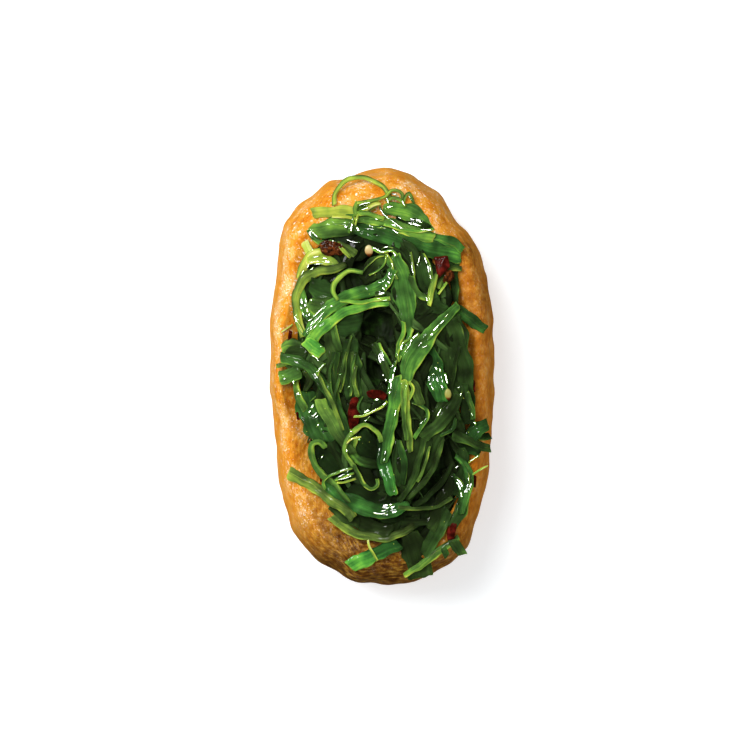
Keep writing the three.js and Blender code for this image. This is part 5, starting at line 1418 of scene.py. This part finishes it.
# Thin shreds and ribs that lie on the strips, as width in mm and route. Wet all over, they catch
# the lamp along their length, and one shorter than STIFF_BELOW mm lies straight.
STIFF_BELOW = 3.2
SHREDS = [
    (0.44, [(9.2, 7.6), (10.4, 8.9)]), (0.47, [(10.2, 8.8), (11.4, 10.2)]),
    (0.4, [(11.4, 10.2), (12.4, 11.3)]), (0.27, [(12.4, 11.5), (13.2, 12.4)]),
    (0.24, [(7.2, 5.8), (8, 6.8)]), (0.29, [(8.5, 23.9), (9, 22.3)]), (0.33, [(9, 22.1), (9.5, 20.5)]),
    (0.29, [(9.4, 20.4), (9.8, 19.2)]), (0.27, [(5.8, 22.3), (6.3, 20.1)]),
    (0.25, [(8.6, 15.9), (9, 14.5)]), (0.44, [(2.2, 0.6), (1.9, -1)]), (0.36, [(1.9, -1.2), (1.6, -2.6)]),
    (0.29, [(1.6, -2.8), (1.4, -3.8)]), (0.4, [(-5.6, 31.4), (-6.2, 28.7)]),
    (0.25, [(3.2, 31.9), (4, 31.3)]), (0.24, [(5.2, 30.7), (6.2, 30.1)]),
    (0.22, [(-3.8, 33.9), (-2.6, 34.4)]), (0.45, [(0.8, 33.6), (2.2, 33.8)]),
    (0.27, [(-5, 33.8), (-3.6, 34.4), (-2.2, 34.5)]), (0.24, [(-4.2, 33.2), (-2.6, 33.8)]),
    (0.22, [(0.8, 35.7), (1.4, 34.3)]), (0.22, [(1.8, 36.3), (3, 36.2)]), (0.24, [(4, 35.1), (4.6, 33.9)]),
    (0.2, [(5.4, 36.1), (6, 34.9)]), (0.27, [(2.4, 30.7), (4.2, 29.2)]), (0.33, [(2, 29.3), (3.4, 28.4)]),
    (0.58, [(6, 30.6), (7.8, 29.9)]), (0.25, [(6.6, 31.1), (8.2, 30.6)]),
    (0.25, [(7.6, 29.3), (10, 28.9)]), (0.22, [(-3.8, 31.2), (-2, 31.3), (0, 31.3)]),
    (0.22, [(-3.2, 30.3), (-1.2, 29.7), (0.8, 29.4)]), (0.27, [(-7.2, 27.2), (-5.8, 26.7), (-4.4, 26.7)]),
    (0.33, [(-2, 25.6), (0, 24.5)]), (0.36, [(-0.2, 25.2), (1, 25.7), (2.2, 25.5)]),
    (0.55, [(2.2, 24.7), (2.8, 23.7)]), (0.55, [(-7.4, 30.3), (-7, 29.5)]),
    (0.55, [(-5, 29.9), (-4.6, 28.9)]), (0.25, [(-14.5, 29.5), (-13.8, 28.5), (-12.8, 27.5)]),
    (0.29, [(-12.6, 27.1), (-11.4, 26.8), (-10.2, 27.1), (-9, 26.5)]), (0.22, [(7.6, 23.9), (6.8, 21.9)]),
    (0.33, [(0, 17.7), (0.6, 16.9)]), (0.36, [(0.4, 18.3), (1, 17.5)]), (0.36, [(0.8, 18.9), (1.6, 18.3)]),
    (0.29, [(1, 19.9), (1.8, 19.1)]), (0.65, [(-0.8, 16.4), (0.6, 16.6)]),
    (0.22, [(-2, 14.8), (-0.2, 15), (1.6, 15.3)]), (0.55, [(-16.2, 15.5), (-15.8, 14.3)]),
    (0.47, [(-15.5, 14.5), (-15.3, 13.6)]), (0.44, [(-15.1, 13.6), (-14.7, 12.6)]),
    (0.4, [(-14.7, 12.6), (-14.2, 12)]), (0.4, [(-16.3, 14), (-15.7, 12.4), (-14.7, 11)]),
    (0.22, [(-17.7, 13), (-17.1, 10.6), (-15.9, 8.2)]), (0.2, [(-17.1, 13.4), (-16.5, 11), (-15.5, 8.4)]),
    (0.29, [(-14.9, 11), (-13.8, 11.5)]), (0.25, [(-14.5, 15.1), (-13.8, 14.9)]),
    (0.29, [(-14.9, 8.4), (-13.4, 10), (-12, 11.4)]), (0.24, [(-15.5, 7.8), (-13.8, 10.2), (-11.4, 13)]),
    (0.27, [(-14.5, 8.4), (-12.2, 11)]), (0.22, [(-13.8, 11.6), (-12.2, 13), (-10.6, 14.2)]),
    (0.27, [(-13.6, 22.3), (-11.6, 22.4)]), (0.25, [(-13.8, 23.7), (-12.4, 24.1)]),
    (0.25, [(-16.1, 20.1), (-15.5, 21.3)]), (0.24, [(-15.1, 21.5), (-14.5, 22.5)]),
    (0.22, [(-14.5, 21.1), (-13.6, 21.7)]), (0.25, [(-12, 23.5), (-10.8, 23.4)]),
    (0.36, [(4.2, 6.4), (3.8, 5)]), (0.22, [(6, 7.2), (4.4, 4.6)]), (0.55, [(6, 7.4), (7.2, 8.5)]),
    (0.58, [(8.8, 7), (9.8, 8.2), (11.2, 9.5)]), (0.29, [(8, 5.4), (9, 6.3)]),
    (0.4, [(2.8, 2), (2.4, 0.6)]), (0.29, [(2.2, 2.4), (1.8, 1.6)]), (0.33, [(0.6, -0.4), (1, -1.2)]),
    (0.29, [(0, 0.4), (0.4, -0.2)]), (0.29, [(-0.8, 4.4), (-0.2, 2.4)]), (0.55, [(12.4, 0.6), (13, -1.6)]),
    (0.36, [(11.8, -1.6), (12.2, -2.6)]), (0.44, [(10.6, 2), (11, 1)]), (0.47, [(11.4, 1.6), (11.8, 0.8)]),
    (0.29, [(9.6, -2), (10.2, -3)]), (0.36, [(9.8, 0.2), (10.4, 0.6)]),
    (0.47, [(-14, -6.6), (-13.6, -5.6)]), (0.44, [(-14.7, -7.4), (-14.2, -6.8)]),
    (0.33, [(-13.8, -8.2), (-13, -7.2)]), (0.29, [(-13.4, -8.5), (-12.6, -7.7)]),
    (0.22, [(-13, -10.2), (-12.4, -9.4)]), (0.22, [(-15.1, -6.2), (-13.8, -4.6), (-12.6, -3.2)]),
    (0.24, [(-12.6, 2.8), (-13.2, 3.6), (-14.3, 4.2)]), (0.47, [(-12.3, 5.7), (-11.9, 5.8)]),
    (0.29, [(-14.5, 5), (-14.2, 5.4)]), (0.22, [(-13.2, 0.4), (-12.2, 1.8), (-11.2, 2.6)]),
    (0.44, [(-17.7, -0.6), (-17.5, -1.6)]), (0.29, [(-16.9, -3), (-16.8, -4)]),
    (0.29, [(-8.6, 0.2), (-8, 0.5)]), (0.33, [(-6.8, -2.4), (-6.4, -2)]),
    (0.36, [(-7.2, -14.5), (-6.8, -15.1)]), (0.44, [(-4.8, -12.4), (-4.4, -12.8)]),
    (0.33, [(-6.5, -10.7), (-5.9, -11.5)]), (0.25, [(-12.2, -16.5), (-11.8, -15.7)]),
    (0.29, [(-3.6, -9.2), (-2.4, -8)]), (0.55, [(-3.6, -7.4), (-2.6, -6.6)]),
    (0.47, [(0.2, -6), (0.8, -5.2)]), (0.47, [(-1.6, -4.8), (-0.6, -4.8)]),
    (0.29, [(2.4, -8), (2.8, -6.4)]), (0.25, [(0.6, -15.9), (0.8, -14.7)]),
    (0.22, [(0.2, -17.1), (0.6, -16.1)]), (0.25, [(10.8, -8), (11.8, -6.4)]),
    (0.24, [(7.4, -9.6), (8.2, -8.8)]), (0.36, [(2.4, -22.7), (2.5, -23.1)]),
    (0.27, [(-9.2, -20.3), (-7.6, -19.5), (-6, -18.6)]),
    (0.25, [(-8.8, -20.9), (-7.4, -20.4), (-6, -19.8)]),
    (0.33, [(-2, -27.2), (-0.8, -27.4), (0.8, -27.3)]), (0.44, [(0, -26.5), (0.4, -26.2)]),
    (0.36, [(0.8, -26.5), (1.6, -26)]), (0.4, [(1.6, -26.3), (2.6, -26)]),
    (0.25, [(1.2, -25.7), (2.2, -25.5)]), (0.25, [(-0.4, -26.9), (0.8, -26.7)]),
    (0.44, [(14.9, -20.3), (15.7, -21.3), (16.1, -22.3)]),
    (0.36, [(14.7, -21.1), (15.3, -22.1), (15.7, -22.9)]), (0.47, [(15.7, -23.1), (15.9, -24.3)]),
    (0.25, [(14.5, -18.5), (15.3, -17.8)]), (0.22, [(16.3, -17.5), (17.1, -19.5), (17.5, -21.5)]),
    (0.2, [(16.7, -18.7), (17.3, -20.7), (17.3, -22.3)]),
    (0.22, [(17.5, -17.1), (18.5, -16.5), (19.5, -15.7)]), (0.4, [(18.3, -9), (18.5, -9.8)]),
    (0.25, [(17.9, -7.2), (18.1, -8)]), (0.22, [(15.1, -2.6), (15.5, -2)]),
    (0.24, [(15.5, -4.2), (15.9, -3.2)]),
]
for wide, route in SHREDS:
    long = sum(math.dist(a, b) for a, b in zip(route, route[1:]))
    glints = max(1, round(long / GLINT_APART))
    lay_strand(
        top_strands, (0.7 * wide, wide, wide, 0.7 * wide), 0.14, (0, 0), 0.1, (0.5, 0.5), route,
        shape=(9, 2), spring=12, cup=0, fold=0, pleat=0, slant=0, spacing=0.13, rim=0, wet=2,
        glint=(np.arange(glints) + 0.5) / glints, stiff=long < STIFF_BELOW,
    )
finish_strands("wakame_top", top_strands, weed)

# One square flake lies on top of all that, and then the flakes are made into one piece.
SQUARE_FLAKE = [(10.3, 23.7), (13.1, 24.0), (13.5, 21.7), (11.1, 19.3)]
lay_scrap(flakes, SQUARE_FLAKE, 0.5, 0.05, (8, -6), 0.5, corner=0)
finish_scraps("chilli_flakes", flakes, chilli)


# ---- Wood ear ----
# Wood ear, a thin fungus from dead wood, sold dried: soaked again and torn into scraps. It is dark
# brown, wet and crinkled, so it glints in small specks.

CRINKLE = 0.7
wood_ear, tree = new_material("wood_ear_fungus")
where = add(tree, "ShaderNodeTexCoord").outputs["Object"]
crinkles = add(
    tree, "ShaderNodeTexNoise", {"Scale": 1 / (CRINKLE * MM), "Detail": 4, "Roughness": 0.65},
    {"Vector": where},
)
brown = add(tree, "ShaderNodeValToRGB", links={"Fac": crinkles})
set_ramp(brown, [(0.35, "#1d0c04"), (0.52, "#43200e"), (0.66, "#7a3f1a")])
ear_bump = add(tree, "ShaderNodeBump", {"Strength": 0.9, "Distance": 0.35 * MM}, {"Height": crinkles})
ear_shader = add(
    tree, "ShaderNodeBsdfPrincipled", {"IOR": 1.42, "Specular IOR Level": 0.4, "Roughness": 0.08},
    {"Base Color": brown, "Normal": ear_bump},
)
add(tree, "ShaderNodeOutputMaterial", links={"Surface": ear_shader})
WOOD_EAR_SCRAPS = [
    ([(-12.6, 26.4), (-11.2, 27.2), (-9.6, 26.8), (-8.2, 26.4), (-7.2, 25.2), (-8.0, 24.0), (-9.6, 24.2),
      (-11.0, 23.8), (-12.2, 24.6)], 0.7, (-6, 8)),
    ([(12.7, 21.2), (14.2, 21.0), (14.5, 19.6), (13.2, 18.4), (12.0, 18.8)], 0.3, (-14, 12)),
]
ears = new_scraps()
for outline, thick, lean in WOOD_EAR_SCRAPS:
    lay_scrap(ears, outline, thick, 0.36 * thick, lean)
finish_scraps("wood_ear", ears, wood_ear)


# ---- Sesame seeds ----
# Toasted white sesame, strewn on as the salad was dressed: a flat teardrop about 2.3 mm long,
# cream, with a brown point.

sesame, tree = new_material("toasted_sesame")
low_end_at = add(tree, "ShaderNodeAttribute", attribute_name="low_end").outputs["Fac"]
where = add(tree, "ShaderNodeTexCoord").outputs["Object"]
place = add(tree, "ShaderNodeSeparateXYZ", None, {"Vector": where})
hull = add(tree, "ShaderNodeValToRGB", links={"Fac": low_end_at})
set_ramp(hull, [(0.1, "#3c1606"), (0.22, "#6c3c18"), (0.34, "#b08c58"), (0.8, "#c8bc88")])
# A seed that has lain in the dressing is stained green.
stain = add(tree, "ShaderNodeMapRange", {1: 0.0, 2: 0.01, 3: 0.75, 4: 0.0}, {0: place.outputs["Y"]})
above_point = add(tree, "ShaderNodeMapRange", {1: 0.2, 2: 0.36, 3: 0.0, 4: 1.0}, {0: low_end_at})
stain_seen = add(tree, "ShaderNodeMath", None, {0: stain, 1: above_point}, operation="MULTIPLY")
stained = add(tree, "ShaderNodeMix", {7: linear("#828a34")}, {0: stain_seen, 6: hull}, data_type="RGBA")
sesame_shader = add(
    tree, "ShaderNodeBsdfPrincipled",
    {"IOR": 1.45, "Specular IOR Level": 0.3, "Roughness": 0.2, "Subsurface Weight": 0.2,
     "Subsurface Radius": (1.0, 0.8, 0.5), "Subsurface Scale": 0.4 * MM},
    {"Base Color": stained.outputs[2]},
)
add(tree, "ShaderNodeOutputMaterial", links={"Surface": sesame_shader})
SEED_HALF_LONG, SEED_THICK = 1.2, 0.8


def seed_outline(x, y, turn, half_wide):
    """Teardrop with its point down, turned by an angle in degrees."""
    outline = []
    for k in range(24):
        t = 2 * math.pi * k / 24
        narrow = 1 - 0.45 * max(0, -math.sin(t)) ** 1.5
        px, py = half_wide * math.cos(t) * narrow, SEED_HALF_LONG * math.sin(t)
        c, sn = math.cos(math.radians(turn)), math.sin(math.radians(turn))
        outline.append((x + px * c - py * sn, y + px * sn + py * c))
    return outline


# Each seed: its place, turn in degrees, half width, and lift off what it lies on.
SEEDS = [(-2.6, 24.9, 6, 0.84, 0.3), (13.1, -3.7, 4, 0.68, 0.4)]
seeds = new_scraps()
for x, y, turn, half_wide, lift in SEEDS:
    lay_scrap(seeds, seed_outline(x, y, turn, half_wide), SEED_THICK, 0, (0, 0), lift, corner=0)
finish_scraps("sesame_seeds", seeds, sesame)


# ---- Floor, light and camera ----
# A white table top. One soft lamp stands behind the left shoulder, and the room is white.

# In a square view this many pixels wide the pocket is so long, and its middle lies at that pixel.
FRAME_PIXELS = 751
POUCH_PIXELS = 416
OBJECT_MIDDLE = (382, 376)
# The lens and sensor are in mm. The view is measured at the height of the pocket's belly.
LENS, SENSOR = 300, 36
BELLY_HEIGHT = 16 * MM
wide_view = 2 * POUCH_HALF_LENGTH * MM * FRAME_PIXELS / POUCH_PIXELS
distance = wide_view * LENS / SENSOR
middle = [(FRAME_PIXELS / 2 - OBJECT_MIDDLE[0]) / FRAME_PIXELS * wide_view,
          (OBJECT_MIDDLE[1] - FRAME_PIXELS / 2) / FRAME_PIXELS * wide_view]
scene = bpy.context.scene
camera_data = bpy.data.cameras.new("camera")
camera_data.lens, camera_data.sensor_width = LENS, SENSOR
camera = bpy.data.objects.new("camera", camera_data)
camera.location = (middle[0], middle[1], distance + BELLY_HEIGHT)
scene.collection.objects.link(camera)
scene.camera = camera

# Half the table top's width.
FLOOR = 3.0
floor_corners = [(-FLOOR, -FLOOR, 0), (FLOOR, -FLOOR, 0), (FLOOR, FLOOR, 0), (-FLOOR, FLOOR, 0)]
floor_mesh = bpy.data.meshes.new("table_top")
floor_mesh.from_pydata(floor_corners, [], [(0, 1, 2, 3)])
floor = bpy.data.objects.new("table_top", floor_mesh)
scene.collection.objects.link(floor)
# White laminate: matt, and so evenly lit that it hardly shows a shade.
white, tree = new_material("white_laminate")
white_shader = add(
    tree, "ShaderNodeBsdfPrincipled",
    {"Base Color": (0.77, 0.8, 0.82, 1), "Roughness": 0.8, "Emission Color": (0.975, 1, 1.015, 1),
     "Emission Strength": 0.44},
)
add(tree, "ShaderNodeOutputMaterial", links={"Surface": white_shader})
floor_mesh.materials.append(white)
floor.visible_glossy = False
floor.visible_diffuse = False


def area_light(name, place, size, power):
    """A round lamp that faces the middle of the table."""
    data = bpy.data.lights.new(name, "AREA")
    data.shape, data.size, data.energy = "DISK", size, power
    light = bpy.data.objects.new(name, data)
    light.location = place
    light.rotation_euler = (-Vector(place)).to_track_quat("-Z", "Y").to_euler()
    scene.collection.objects.link(light)
    return light


# The lamp is a large soft one whose bright middle is what shows in the wet gloss.
area_light("glint_lamp", (-0.36, 0.34, 0.66), 0.18, 7.5).visible_diffuse = False
# Each lamp: its place and width in metres, and its power in watts.
SOFT_LAMPS = [
    ("key_lamp", (-0.27, 0.255, 0.74), 0.45, 6.4),
    ("side_lamp", (-0.62, 0.14, 0.2), 0.3, 1.3),
    ("fill_lamp", (0.5, -0.4, 0.7), 0.8, 1.0),
]
for name, place, size, power in SOFT_LAMPS:
    area_light(name, place, size, power).visible_glossy = False

world = bpy.data.worlds.new("white_room")
world.use_nodes = True
world.node_tree.nodes["Background"].inputs["Color"].default_value = (1, 1, 1, 1)
world.node_tree.nodes["Background"].inputs["Strength"].default_value = 0.5
world.cycles_visibility.glossy = False
scene.world = world
scene.view_settings.view_transform = "Standard"
scene.cycles.use_denoising = True
